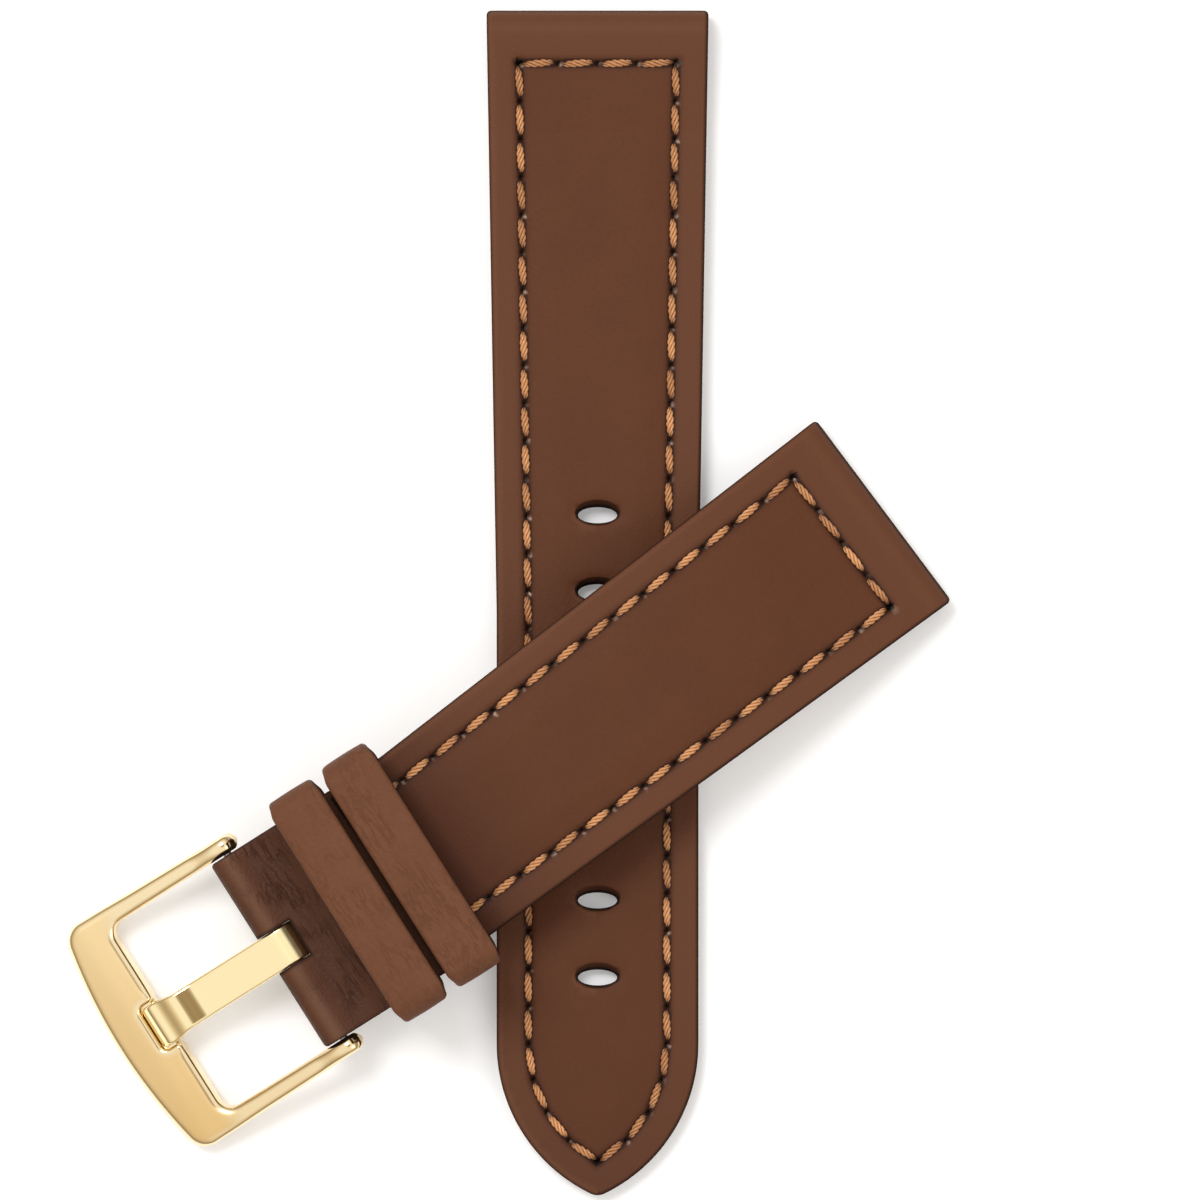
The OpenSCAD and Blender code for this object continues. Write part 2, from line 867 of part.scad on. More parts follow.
// The coil spring, one tube of square section along a helix
module spring_bar_spring() {
    sides = 4;
    rings = spring_turns * 8;
    ring = function (i) let (a = 45 * i, z = -spring_half + wire_r + (2 * spring_half - 2 * wire_r) * i / rings) [
        for (k = [0 : sides - 1])
            let (b = 90 * k, r = coil_r + wire_r * cos(b)) [r * cos(a), r * sin(a), z + wire_r * sin(b)]
    ];
    points = [for (i = [0 : rings]) each ring(i)];
    walls = [
        for (i = [0 : rings - 1])
            for (k = [0 : sides - 1])
                let (a = i * sides + k, b = i * sides + (k + 1) % sides)
                each [[a, b, b + sides], [a, b + sides, a + sides]]
    ];
    first = [[2, 1, 0], [3, 2, 0]];
    last = [for (f = first) [for (k = [2 : -1 : 0]) rings * sides + f[k]]];
    color(steel) spring_bar_place() rotate([90, 0, 0]) polyhedron(points, concat(first, walls, last));
}

long_upper();
long_lining();
long_core();
long_thread_top();
long_thread_bottom();
short_upper();
short_lining();
short_core();
short_thread_top();
short_thread_bottom();
fixed_keeper();
fixed_keeper_stitch();
free_keeper();
free_keeper_stitch();
buckle_frame();
buckle_tongue();
spring_bar_tube();
spring_bar_plunger_left();
spring_bar_plunger_right();
spring_bar_spring();
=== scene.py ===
import json
import math

import bmesh
import bpy
import numpy as np
from mathutils import Matrix, Vector, noise
from mathutils.geometry import delaunay_2d_cdt


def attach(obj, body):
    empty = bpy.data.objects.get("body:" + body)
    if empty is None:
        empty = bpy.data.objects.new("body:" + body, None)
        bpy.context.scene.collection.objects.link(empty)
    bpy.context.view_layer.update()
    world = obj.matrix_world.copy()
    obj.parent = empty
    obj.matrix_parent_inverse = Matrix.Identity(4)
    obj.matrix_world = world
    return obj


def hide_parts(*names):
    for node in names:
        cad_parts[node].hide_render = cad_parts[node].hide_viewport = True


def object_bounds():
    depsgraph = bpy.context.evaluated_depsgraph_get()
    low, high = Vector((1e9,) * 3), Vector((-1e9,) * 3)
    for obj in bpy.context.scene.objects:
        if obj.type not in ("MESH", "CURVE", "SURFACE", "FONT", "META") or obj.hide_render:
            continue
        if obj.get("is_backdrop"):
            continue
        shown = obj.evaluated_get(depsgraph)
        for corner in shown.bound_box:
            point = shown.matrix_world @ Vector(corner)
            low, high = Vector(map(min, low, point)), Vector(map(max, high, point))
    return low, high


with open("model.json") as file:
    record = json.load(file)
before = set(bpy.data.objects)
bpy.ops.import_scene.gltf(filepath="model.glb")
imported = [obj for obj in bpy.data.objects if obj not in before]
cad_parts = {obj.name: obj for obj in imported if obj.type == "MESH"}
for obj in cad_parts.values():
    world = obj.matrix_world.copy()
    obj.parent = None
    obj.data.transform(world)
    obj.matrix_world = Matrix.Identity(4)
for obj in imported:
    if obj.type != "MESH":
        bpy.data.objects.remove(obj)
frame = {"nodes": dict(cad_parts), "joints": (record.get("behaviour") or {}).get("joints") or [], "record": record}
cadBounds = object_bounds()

record = frame["record"]
mm = 0.001

# Sizes below are millimetres, in each strap's own plan: x from the lug end, y across, z up
lugEnd = {"thick": 4.2, "bore": 1.0, "boreCut": 30.0, "taperEnd": 12.0, "flap": 8.0, "corner": 0.5}
layers = {"lining": 0.9, "liningRound": 0.25, "flapRound": 0.3, "seam": 0.05, "padRun": 3.5, "padFrom": 4.0,
          "padRamp": 10.0}
stitching = {"inset": 3.15, "lugRow": 5.3, "pitch": 3.75, "gap": 0.44, "threadWidth": 0.78, "rise": 0.28,
             "backWidth": 0.6, "backDive": 0.3}
nets = {"upper": 0.6, "lining": 0.8, "outline": 0.3, "buckle": 0.4, "buckleOutline": 0.25}


# Toolbox


def smooth(t):
    t = np.clip(t, 0, 1)
    return t * t * (3 - 2 * t)


def bell(distance, width):
    return np.exp(-(distance / width) ** 2)


def unit(v):
    v = np.asarray(v, float)
    return v / np.linalg.norm(v)


def joint(name):
    return next(j for j in frame["joints"] if j["name"] == name)


# A piece's own axes in the shared frame
class Place:
    def __init__(self, origin, along, across):
        self.origin = np.asarray(origin, float)
        self.along = unit(along)
        self.across = unit(across)
        self.axes = np.array([self.along, self.across, np.cross(self.along, self.across)])

    def turn(self, vectors):
        return np.asarray(vectors, float).reshape(-1, 3) @ self.axes

    def put(self, points):
        return (self.origin + self.turn(points)) * mm

    def read(self, piece):
        spots = np.empty(len(piece.data.vertices) * 3)
        piece.data.vertices.foreach_get("co", spots)
        return (spots.reshape(-1, 3) / mm - self.origin) @ self.axes.T


def strapPlace(mountName):
    mount = next(m for m in record["mounts"] if m["name"] == mountName)
    across = unit(mount["axis"])
    along = np.array([across[1], -across[0], 0])
    middle = np.array(mount["pos_m"]) / mm
    return Place(middle - lugEnd["thick"] / 2 * (along + [0, 0, 1]), along, across)


def addObject(name, data):
    added = bpy.data.objects.new(name, data)
    bpy.context.scene.collection.objects.link(added)
    return added


def solidMesh(name, points, faces, place, sharp=35, masks=None):
    mesh = bpy.data.meshes.new(name)
    mesh.from_pydata([tuple(p) for p in place.put(points)], [], [tuple(int(i) for i in f) for f in faces])
    mesh.validate()
    mesh.shade_smooth()
    mesh.set_sharp_from_angle(angle=math.radians(sharp))
    for key, values in (masks or {}).items():
        layer = mesh.attributes.new(key, "FLOAT", "POINT")
        layer.data.foreach_set("value", np.asarray(values, np.float32))
    return addObject(name, mesh)


def turnFacesOut(piece):
    shape = bmesh.new()
    shape.from_mesh(piece.data)
    bmesh.ops.recalc_face_normals(shape, faces=shape.faces)
    shape.to_mesh(piece.data)
    shape.free()


def bakeModifiers(piece):
    graph = bpy.context.evaluated_depsgraph_get()
    done = bpy.data.meshes.new_from_object(piece.evaluated_get(graph), depsgraph=graph)
    piece.modifiers.clear()
    piece.data = done
    return piece


def cutAway(piece, cutter, sharp=35):
    cut = piece.modifiers.new("Cut", "BOOLEAN")
    cut.operation = "DIFFERENCE"
    cut.solver = "EXACT"
    cut.object = cutter
    bakeModifiers(piece)
    piece.data.set_sharp_from_angle(angle=math.radians(sharp))
    bpy.data.objects.remove(cutter)


# What every piece gets at the end: its material, the body it moves with, and its CAD node hidden
def dress(piece, material, body, node):
    piece.data.materials.clear()
    piece.data.materials.append(material)
    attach(piece, body)
    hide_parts(node)


def rodCutter(place, centre, radius, length, sides=48):
    turn = np.linspace(0, 2 * np.pi, sides, endpoint=False)
    ring = np.stack([centre[0] + radius * np.cos(turn), 0 * turn, centre[2] + radius * np.sin(turn)], 1)
    points = np.concatenate([ring + [0, -length / 2, 0], ring + [0, length / 2, 0]])
    faces = [[i, i + sides, (i + 1) % sides + sides, (i + 1) % sides] for i in range(sides)]
    faces += [list(range(sides)), list(range(2 * sides - 1, sides - 1, -1))]
    return solidMesh("cutter", points, faces, place)


# Four-sided faces between rings with equally many points, the last ring joined to the first one if closed
def skinFaces(rings, size, closed=False):
    faces = []
    for i in range(rings if closed else rings - 1):
        k = (i + 1) % rings
        for j in range(size):
            m = (j + 1) % size
            faces.append((i * size + j, k * size + j, k * size + m, i * size + m))
    return faces


# Normals of a closed loop, on the left of its run
def loopNormals(loop):
    side = np.roll(loop, -1, axis=0) - np.roll(loop, 1, axis=0)
    return np.stack([-side[:, 1], side[:, 0]], 1) / np.linalg.norm(side, axis=1)[:, None]


def loopDistance(points, loop, closed=True):
    start = np.asarray(loop, float)
    end = np.roll(start, -1, axis=0)
    if not closed:
        start, end = start[:-1], end[:-1]
    best = np.full(len(points), 1e9)
    for a, b in zip(start, end):
        run = b - a
        t = np.clip(((points - a) @ run) / max(run @ run, 1e-12), 0, 1)
        gap = points - a - t[:, None] * run
        best = np.minimum(best, (gap ** 2).sum(1))
    return np.sqrt(best)


def isInside(points, loop):
    a = np.asarray(loop, float)
    b = np.roll(a, -1, axis=0)
    odd = np.zeros(len(points), bool)
    for p, q in zip(a, b):
        crosses = (p[1] > points[:, 1]) != (q[1] > points[:, 1])
        if p[1] != q[1]:
            at = p[0] + (points[:, 1] - p[1]) * (q[0] - p[0]) / (q[1] - p[1])
            odd ^= crosses & (points[:, 0] < at)
    return odd


def evenLoop(loop, step):
    points = []
    loop = np.asarray(loop, float)
    for a, b in zip(loop, np.roll(loop, -1, axis=0)):
        count = max(1, int(np.ceil(np.linalg.norm(b - a) / step - 1e-6)))
        points += [a + (b - a) * i / count for i in range(count)]
    return np.array(points)


def arcPoints(centre, radius, start, end, count):
    turn = np.radians(np.linspace(start, end, count + 1))
    return np.stack([centre[0] + radius * np.cos(turn), centre[1] + radius * np.sin(turn)], 1)


def roundDrop(distance, radius):
    d = np.clip(distance, 0, radius)
    return radius - np.sqrt(np.maximum(radius ** 2 - (radius - d) ** 2, 0))


# A solid between two height fields over a plan, with a finer net near its edges and along extra lines
def planSolid(name, place, outline, holes, topOf, underOf, edgeRound, netStep, finePoints=(), sharp=35,
              masks=None):
    loops = [np.asarray(loop, float) for loop in [outline, *holes]]

    def within(points):
        inside = isInside(points, loops[0])
        for hole in loops[1:]:
            inside &= ~isInside(points, hole)
        return inside

    def toRims(points):
        return np.min([loopDistance(points, loop) for loop in loops], axis=0)

    rings = edgeRound * (1 - np.cos(np.radians([16, 32, 48, 64, 80, 90])))
    fine = []
    for loop in loops:
        normal = loopNormals(loop)
        for d in rings:
            fine += [loop + normal * d, loop - normal * d]
    fine = np.concatenate(fine)
    fine = fine[np.min(np.abs(toRims(fine)[:, None] - rings[None]), axis=1) < 0.03 * edgeRound]

    low, high = loops[0].min(0), loops[0].max(0)
    xs, ys = np.arange(low[0], high[0], netStep), np.arange(low[1], high[1], netStep)
    net = np.stack(np.meshgrid(xs, ys, indexing="ij"), -1)
    net[:, 1::2, 0] += netStep / 2
    net = net.reshape(-1, 2)
    if len(finePoints):
        near = np.concatenate(finePoints)
        cell = netStep * 0.7
        taken = set(map(tuple, np.floor(near / cell).astype(int)))
        net = net[[tuple(c) not in taken for c in np.floor(net / cell).astype(int)]]
        net = np.concatenate([net, near])
    net = net[toRims(net) > edgeRound + netStep * 0.25]

    cloud = np.concatenate([*loops, fine, net])
    keep = within(cloud)
    keep[:sum(len(loop) for loop in loops)] = True
    edges, at = [], 0
    for loop in loops:
        edges += [(at + i, at + (i + 1) % len(loop)) for i in range(len(loop))]
        at += len(loop)
    plan, _, faces, *_ = delaunay_2d_cdt([Vector(p) for p in cloud[keep]], edges, [], 0, 1e-5, False)
    plan = np.array([tuple(p) for p in plan])
    faces = np.array([f for f in faces if len(f) == 3])
    faces = faces[within(plan[faces].mean(1))]
    used = np.unique(faces)
    remap = np.full(len(plan), -1)
    remap[used] = np.arange(len(used))
    plan, faces = plan[used], remap[faces]
    cross = np.cross(plan[faces[:, 1]] - plan[faces[:, 0]], plan[faces[:, 2]] - plan[faces[:, 0]])
    faces[cross < 0] = faces[cross < 0][:, ::-1]

    rimGap = toRims(plan)
    top, under = topOf(plan, rimGap), underOf(plan, rimGap)
    count = len(plan)
    low = np.where(top - under < 1e-4, np.arange(count), np.arange(count) + count)
    sides = dict.fromkeys(map(tuple, np.concatenate([faces[:, [0, 1]], faces[:, [1, 2]], faces[:, [2, 0]]])))
    allFaces = [tuple(f) for f in faces] + [tuple(low[f[::-1]]) for f in faces]
    for a, b in sides:
        wall = tuple(dict.fromkeys((b, a, low[a], low[b])))
        if (b, a) not in sides and len(wall) > 2:
            allFaces.append(wall)
    marks = {key: np.concatenate([rule(plan, rimGap, True), rule(plan, rimGap, False)])
             for key, rule in (masks or {}).items()}
    points = np.concatenate([np.c_[plan, top], np.c_[plan, under]])
    return solidMesh(name, points, allFaces, place, sharp, marks)


# A number in a node tree: each sum, difference or product with it adds one Math node
class Number:
    def __init__(self, socket):
        self.socket = socket

    def __add__(self, other):
        return maths("ADD", self, other)

    def __sub__(self, other):
        return maths("SUBTRACT", self, other)

    def __rsub__(self, other):
        return maths("SUBTRACT", other, self)

    def __mul__(self, other):
        return maths("MULTIPLY", self, other)

    def __truediv__(self, other):
        return maths("DIVIDE", self, other)

    def __abs__(self):
        return maths("ABSOLUTE", self)


def maths(operation, *values):
    tree = next(v.socket.id_data for v in values if isinstance(v, Number))
    node = addNode(tree, "ShaderNodeMath", dict(enumerate(values)), operation=operation)
    return Number(node.outputs[0])


def clamped(number):
    number.socket.node.use_clamp = True
    return number


# Sets or links the inputs of a node
def feed(node, values):
    for key, value in values.items():
        socket = node.inputs[key]
        value = value.socket if isinstance(value, Number) else value
        if isinstance(value, bpy.types.NodeSocket):
            node.id_data.links.new(value, socket)
        else:
            socket.default_value = value


def addNode(tree, kind, values=None, **settings):
    node = tree.nodes.new(kind)
    for key, value in settings.items():
        setattr(node, key, value)
    feed(node, values or {})
    return node


def noiseAt(tree, vector, scale, detail, roughness=0.5, distortion=0.0):
    values = {"Vector": vector, "Scale": scale, "Detail": detail, "Roughness": roughness,
              "Distortion": distortion}
    return Number(addNode(tree, "ShaderNodeTexNoise", values).outputs[0])


def stretched(tree, vector, scale):
    return addNode(tree, "ShaderNodeMapping", {"Vector": vector, "Scale": scale}).outputs[0]


def mixColour(tree, factor, a, b):
    return addNode(tree, "ShaderNodeMix", {0: factor, 6: a, 7: b}, data_type="RGBA").outputs[2]


def addBump(tree, height, strength, distance):
    values = {"Height": height, "Strength": strength, "Distance": distance}
    return addNode(tree, "ShaderNodeBump", values).outputs[0]


def objectSpot(tree):
    return tree.nodes.new("ShaderNodeTexCoord").outputs["Object"]


def readMask(tree, name):
    mask = addNode(tree, "ShaderNodeAttribute", attribute_name=name, attribute_type="GEOMETRY")
    return Number(mask.outputs["Fac"])


def srgb(r, g, b):
    def line(c):
        c /= 255
        return c / 12.92 if c <= 0.04045 else ((c + 0.055) / 1.055) ** 2.4
    return (line(r), line(g), line(b), 1)


def shaderGroup(name, numbers, outputs):
    tree = bpy.data.node_groups.new(name, "ShaderNodeTree")
    tree.interface.new_socket("Vector", in_out="INPUT", socket_type="NodeSocketVector")
    for label, value in numbers.items():
        socket = tree.interface.new_socket(label, in_out="INPUT", socket_type="NodeSocketFloat")
        socket.default_value = value
    for label in outputs:
        tree.interface.new_socket(label, in_out="OUTPUT", socket_type="NodeSocketFloat")
    return tree, tree.nodes.new("NodeGroupInput").outputs, tree.nodes.new("NodeGroupOutput")


def newMaterial(name, slotColour):
    material = bpy.data.materials.new(name)
    material.use_nodes = True
    material.diffuse_color = slotColour
    tree = material.node_tree
    tree.nodes.clear()
    shader = tree.nodes.new("ShaderNodeBsdfPrincipled")
    addNode(tree, "ShaderNodeOutputMaterial", {0: shader.outputs[0]})
    return material, tree, shader


# Shader groups


def leatherGroup():
    numbers = {"Pore Scale": 2600.0, "Cloud Scale": 90.0, "Crease": 0.0}
    tree, given, result = shaderGroup("leatherGrain", numbers, ["Height", "Cloud", "Pores", "Creases"])
    where, poreScale = given["Vector"], given["Pore Scale"]
    cloud = noiseAt(tree, where, given["Cloud Scale"], 4.0, 0.6)
    pores = noiseAt(tree, where, poreScale, 5.0, 0.65)
    cells = addNode(tree, "ShaderNodeTexVoronoi", {"Vector": where, "Scale": poreScale},
                    feature="DISTANCE_TO_EDGE")
    pits = clamped(Number(cells.outputs[0]) * 3.0)
    # thin valleys that run along y where a noise crosses its middle value, in patches
    lines = noiseAt(tree, stretched(tree, where, (1.0, 0.2, 1.0)), 1500.0, 3.0, 0.6, 0.25)
    patch = clamped((noiseAt(tree, where, 260.0, 1.0) - 0.42) * 5.0)
    valleys = clamped(1.0 - abs(lines - 0.5) * 16.0) * patch * given["Crease"]
    feed(result, {"Height": pits * 0.45 + pores - valleys * 1.6, "Cloud": cloud, "Pores": pores,
                  "Creases": valleys})
    return tree


def brushGroup():
    tree, given, result = shaderGroup("satinBrushing", {"Line Scale": 1800.0}, ["Lines", "Cloud"])
    where = given["Vector"]
    feed(result, {"Lines": noiseAt(tree, stretched(tree, where, (1.0, 0.05, 1.0)), given["Line Scale"], 3.0),
                  "Cloud": noiseAt(tree, where, 160.0, 2.0)})
    return tree


leatherGrain = leatherGroup()
satinBrushing = brushGroup()


# Materials


def leatherMaterial(name, look):
    material, tree, shader = newMaterial(name, look["colour"])
    grain = addNode(tree, "ShaderNodeGroup", {"Vector": objectSpot(tree), "Pore Scale": look["poreScale"],
                                              "Cloud Scale": look["cloudScale"], "Crease": look["crease"]},
                    node_tree=leatherGrain).outputs
    pores, rim = Number(grain["Pores"]), readMask(tree, "rim")
    base = look["colour"]
    # Colours over the leather's own grain, the last on top: the crease valleys are darkened as painted shade, and
    # each mask is painted in its colour
    for factor, colour in (
        (clamped(Number(grain["Cloud"]) * look["cloudAmount"]), "cloudColour"),
        (clamped(pores * look["poreAmount"]), "poreColour"),
        (Number(grain["Creases"]) * look["creaseTone"], "paintedShadeColour"),
        (readMask(tree, "border"), "borderColour"), (readMask(tree, "paintedShade"), "paintedShadeColour"),
        (readMask(tree, "paintedHighlight"), "paintedHighlightColour"), (readMask(tree, "rowShade"), "rowShadeColour"),
        (readMask(tree, "needle"), "needleShadeColour"), (readMask(tree, "glint"), "glintColour"),
        (rim, "edgePaintAndShadeColour"),
    ):
        base = mixColour(tree, factor, base, look[colour])
    rough = clamped(pores * look["roughSwing"] + look["rough"] + rim * look["rimRough"])
    feed(shader, {"Base Color": base, "Roughness": rough, "Specular IOR Level": look["specular"],
                  "Normal": addBump(tree, grain["Height"], look["bump"], look["bumpDepth"])})
    return material


def threadMaterial():
    look = {"light": srgb(232, 168, 112), "deep": srgb(112, 60, 27), "end": srgb(74, 36, 17),
            "fibreScale": 9000.0, "fibreTone": 0.5, "rough": 0.32, "specular": 0.5, "bump": 0.35,
            "bumpDepth": 0.04 * mm}
    material, tree, shader = newMaterial("tanThread", look["light"])
    fibre = noiseAt(tree, objectSpot(tree), look["fibreScale"], 2.0)
    tone = mixColour(tree, readMask(tree, "stitchTone"), look["light"], look["deep"])
    tone = mixColour(tree, clamped(fibre * look["fibreTone"]), tone, look["deep"])
    # ends darkened as painted shade, where the thread dives into the leather
    tone = mixColour(tree, readMask(tree, "stitchEndShade"), tone, look["end"])
    feed(shader, {"Base Color": tone, "Roughness": look["rough"], "Specular IOR Level": look["specular"],
                  "Normal": addBump(tree, fibre, look["bump"], look["bumpDepth"])})
    return material


def metalMaterial(name, look):
    material, tree, shader = newMaterial(name, look["colour"])
    where = objectSpot(tree)
    brush = addNode(tree, "ShaderNodeGroup", {"Vector": where, "Line Scale": look["lineScale"]},
                    node_tree=satinBrushing).outputs
    lines, polished = Number(brush["Lines"]), readMask(tree, "polish")
    # painted shade: darker from the buckle's upper arm in the picture to its lower one, which is along y of the
    # frame
    down = addNode(tree, "ShaderNodeSeparateXYZ", {0: where}).outputs[1]
    down = addNode(tree, "ShaderNodeMapRange", {0: down, 1: -4 * mm, 2: -28 * mm, 3: 0.0, 4: look["shadeFall"]})
    cloud = clamped(Number(brush["Cloud"]) * look["cloudAmount"])
    base = mixColour(tree, cloud, look["colour"], look["deep"])
    base = mixColour(tree, down.outputs[0], base, look["shadeColour"])
    # polished parts: smoother, and lighter in colour as a painted highlight
    base = mixColour(tree, polished * look["polishHighlight"], base, look["polishHighlightColour"])
    rough = (lines * look["roughSwing"] + look["rough"]) * (1.0 - polished * look["smoothing"])
    feed(shader, {"Base Color": base, "Metallic": 1.0, "Roughness": rough,
                  "Normal": addBump(tree, lines, look["bump"], look["bumpDepth"])})
    return material


brownLook = {"colour": srgb(96, 56, 34), "cloudColour": srgb(77, 42, 24), "cloudAmount": 0.65,
             "poreColour": srgb(70, 38, 22), "poreAmount": 0.4, "poreScale": 2600.0, "cloudScale": 110.0,
             "borderColour": srgb(93, 56, 37), "paintedShadeColour": srgb(68, 36, 22),
             "paintedHighlightColour": srgb(108, 70, 50), "rowShadeColour": srgb(40, 18, 10),
             "needleShadeColour": srgb(12, 6, 4), "edgePaintAndShadeColour": srgb(29, 17, 12),
             "glintColour": srgb(214, 186, 168), "rough": 0.5, "roughSwing": 0.14, "rimRough": 0.5,
             "bump": 0.4, "bumpDepth": 0.08 * mm, "specular": 0.13, "crease": 0.0, "creaseTone": 0.6}
brownLeather = leatherMaterial("brownLeather", brownLook)
keeperLeather = leatherMaterial("keeperLeather", {
    **brownLook, "colour": srgb(116, 75, 53), "cloudColour": srgb(94, 58, 39), "paintedShadeColour": srgb(74, 42, 28),
    "poreScale": 2200.0, "bump": 0.55, "crease": 0.62, "creaseTone": 0.5})
# The tab's leather: darker than the strap's as painted shade, with a painted highlight over its fold and painted
# shade in its creases
shadedTabLeather = leatherMaterial("shadedTabLeather", {
    **brownLook, "colour": srgb(86, 50, 31), "cloudColour": srgb(68, 37, 22), "paintedShadeColour": srgb(44, 22, 13),
    "paintedHighlightColour": srgb(124, 88, 68), "poreScale": 2000.0, "bump": 0.6, "rough": 0.42, "specular": 0.17,
    "crease": 0.9})
liningLeather = leatherMaterial("liningLeather", {
    **brownLook, "colour": srgb(172, 138, 104), "cloudColour": srgb(150, 116, 84),
    "poreColour": srgb(140, 106, 76), "rowShadeColour": srgb(120, 86, 58), "needleShadeColour": srgb(52, 34, 22),
    "edgePaintAndShadeColour": srgb(52, 32, 22), "rough": 0.6, "specular": 0.3, "poreScale": 3200.0})
fillerFelt = leatherMaterial("fillerFelt", {
    **brownLook, "colour": srgb(206, 190, 164), "cloudColour": srgb(186, 168, 140),
    "poreColour": srgb(176, 158, 130), "rough": 0.8, "poreScale": 1500.0})
tanThread = threadMaterial()
goldLook = {"colour": srgb(240, 213, 163), "deep": srgb(234, 203, 146), "shadeColour": srgb(222, 184, 122),
            "shadeFall": 0.8, "polishHighlightColour": srgb(255, 238, 200), "polishHighlight": 0.62, "smoothing": 0.75,
            "cloudAmount": 0.5, "lineScale": 2600.0, "rough": 0.3, "roughSwing": 0.12, "bump": 0.06,
            "bumpDepth": 0.03 * mm}
goldSatin = metalMaterial("goldSatin", goldLook)
# The tongue's gold: polished, and lighter than the satin as a painted highlight
goldPolished = metalMaterial("goldPolished", {
    **goldLook, "colour": srgb(255, 238, 190), "deep": srgb(250, 226, 170), "shadeColour": srgb(246, 214, 152),
    "shadeFall": 0.25, "polishHighlightColour": srgb(254, 234, 184), "cloudAmount": 0.4, "lineScale": 1500.0, "rough": 0.32,
    "roughSwing": 0.1, "bump": 0.03})
barSteel = metalMaterial("barSteel", {
    **goldLook, "colour": srgb(200, 200, 204), "deep": srgb(176, 176, 182), "shadeColour": srgb(176, 176, 182),
    "shadeFall": 0.0, "polishHighlightColour": srgb(200, 200, 204), "lineScale": 2400.0, "rough": 0.25, "roughSwing": 0.1,
    "bump": 0.05})
print("materials made")


# Camera, floor and light

view = {"centre": (12.04, -2.58), "up": (0.5344, 0.8453), "width": 119.46, "level": 3.0, "distance": 1600.0}
pictureUp = unit([*view["up"], 0])  # as seen from above, in the shared frame
pictureRight = np.cross(pictureUp, [0, 0, 1])


def makeCamera():
    data = bpy.data.cameras.new("camera")
    data.lens = data.sensor_width * (view["distance"] - view["level"]) / view["width"]
    data.clip_end = 20
    camera = addObject("camera", data)
    turn = Matrix(np.array([pictureRight, pictureUp, [0, 0, 1]]).T.tolist()).to_4x4()
    camera.matrix_world = Matrix.Translation(Vector((*view["centre"], view["distance"])) * mm) @ turn
    bpy.context.scene.camera = camera


# Metres to the right, up the picture and above the table; every lamp looks at the middle of the table
lamps = {"keyLamp": {"right": -0.36, "up": 0.42, "height": 1.1, "size": 0.5, "watts": 7.5},
         "fillLamp": {"right": 0.8, "up": -0.3, "height": 0.9, "size": 0.8, "watts": 1.5}}


def makeLamps():
    for name, lamp in lamps.items():
        data = bpy.data.lights.new(name, "AREA")
        data.shape = "DISK"
        data.size = lamp["size"]
        data.energy = lamp["watts"]
        flat = pictureRight * lamp["right"] + pictureUp * lamp["up"]
        spot = Vector(flat + np.array([0, 0, lamp["height"]]))
        turn = (-spot).to_track_quat("-Z", "Y").to_matrix().to_4x4()
        addObject(name, data).matrix_world = Matrix.Translation(spot) @ turn


# Pale table, lit a little by itself where the camera or a reflection sees it
def makeFloor():
    look = {"half": 3.0, "below": 0.02 * mm, "colour": srgb(240, 240, 241), "fleck": srgb(238, 238, 239),
            "fleckScale": 900.0, "rough": 0.9, "lift": 0.2}
    half, z = look["half"], -look["below"]
    mesh = bpy.data.meshes.new("floor")
    corners = [(-half, -half, z), (half, -half, z), (half, half, z), (-half, half, z)]
    mesh.from_pydata(corners, [], [(0, 1, 2, 3)])
    material, tree, shader = newMaterial("palePaper", look["colour"])
    fleck = noiseAt(tree, objectSpot(tree), look["fleckScale"], 3.0)
    path = tree.nodes.new("ShaderNodeLightPath").outputs
    seen = maths("MAXIMUM", Number(path["Is Camera Ray"]), path["Is Glossy Ray"])
    lift = (look["lift"], look["lift"], look["lift"], 1)
    feed(shader, {"Base Color": mixColour(tree, fleck, look["colour"], look["fleck"]),
                  "Roughness": look["rough"], "Emission Strength": 1.0,
                  "Emission Color": mixColour(tree, seen, (0, 0, 0, 1), lift)})
    mesh.materials.append(material)
    addObject("floor", mesh)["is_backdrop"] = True


# Colours of the room by height, up to straight above, where a dark warm spot hangs
roomTones = {0.0: (0.34, 0.34, 0.35, 1), 0.25: (0.36, 0.29, 0.21, 1), 0.52: (0.76, 0.68, 0.56, 1),
             0.74: (1, 1, 0.99, 1), 0.97: (1, 1, 0.99, 1), 0.991: (0.46, 0.39, 0.3, 1),
             1.0: (0.34, 0.26, 0.17, 1)}


def makeWorld():
    world = bpy.data.worlds.new("studio")
    bpy.context.scene.world = world
    world.use_nodes = True
    tree = world.node_tree
    tree.nodes.clear()
    where = tree.nodes.new("ShaderNodeTexCoord").outputs["Generated"]
    height = addNode(tree, "ShaderNodeSeparateXYZ", {0: where}).outputs[2]
    room = addNode(tree, "ShaderNodeValToRGB", {0: height})
    stops = room.color_ramp.elements
    while len(stops) < len(roomTones):
        stops.new(0.5)
    for stop, (at, colour) in zip(stops, roomTones.items()):
        stop.position = at
        stop.color = colour
    back = addNode(tree, "ShaderNodeBackground", {0: room.outputs[0], 1: 1.0})
    addNode(tree, "ShaderNodeOutputWorld", {0: back.outputs[0]})


makeCamera()
makeFloor()
makeWorld()
makeLamps()
bpy.context.scene.view_settings.view_transform = "Standard"
print("stage made")


# Stitches, by geometry nodes

# Shares of the thread's width, how much the plies thin out towards a stitch's ends, and what chance changes
cord = {"plyOff": 0.305, "plyThick": 0.215, "taper": 0.3, "endTaper": 0.54, "slantFrom": 0.6, "slantTo": 1.4,
        "toneSpread": 0.5, "endShade": 1.6}


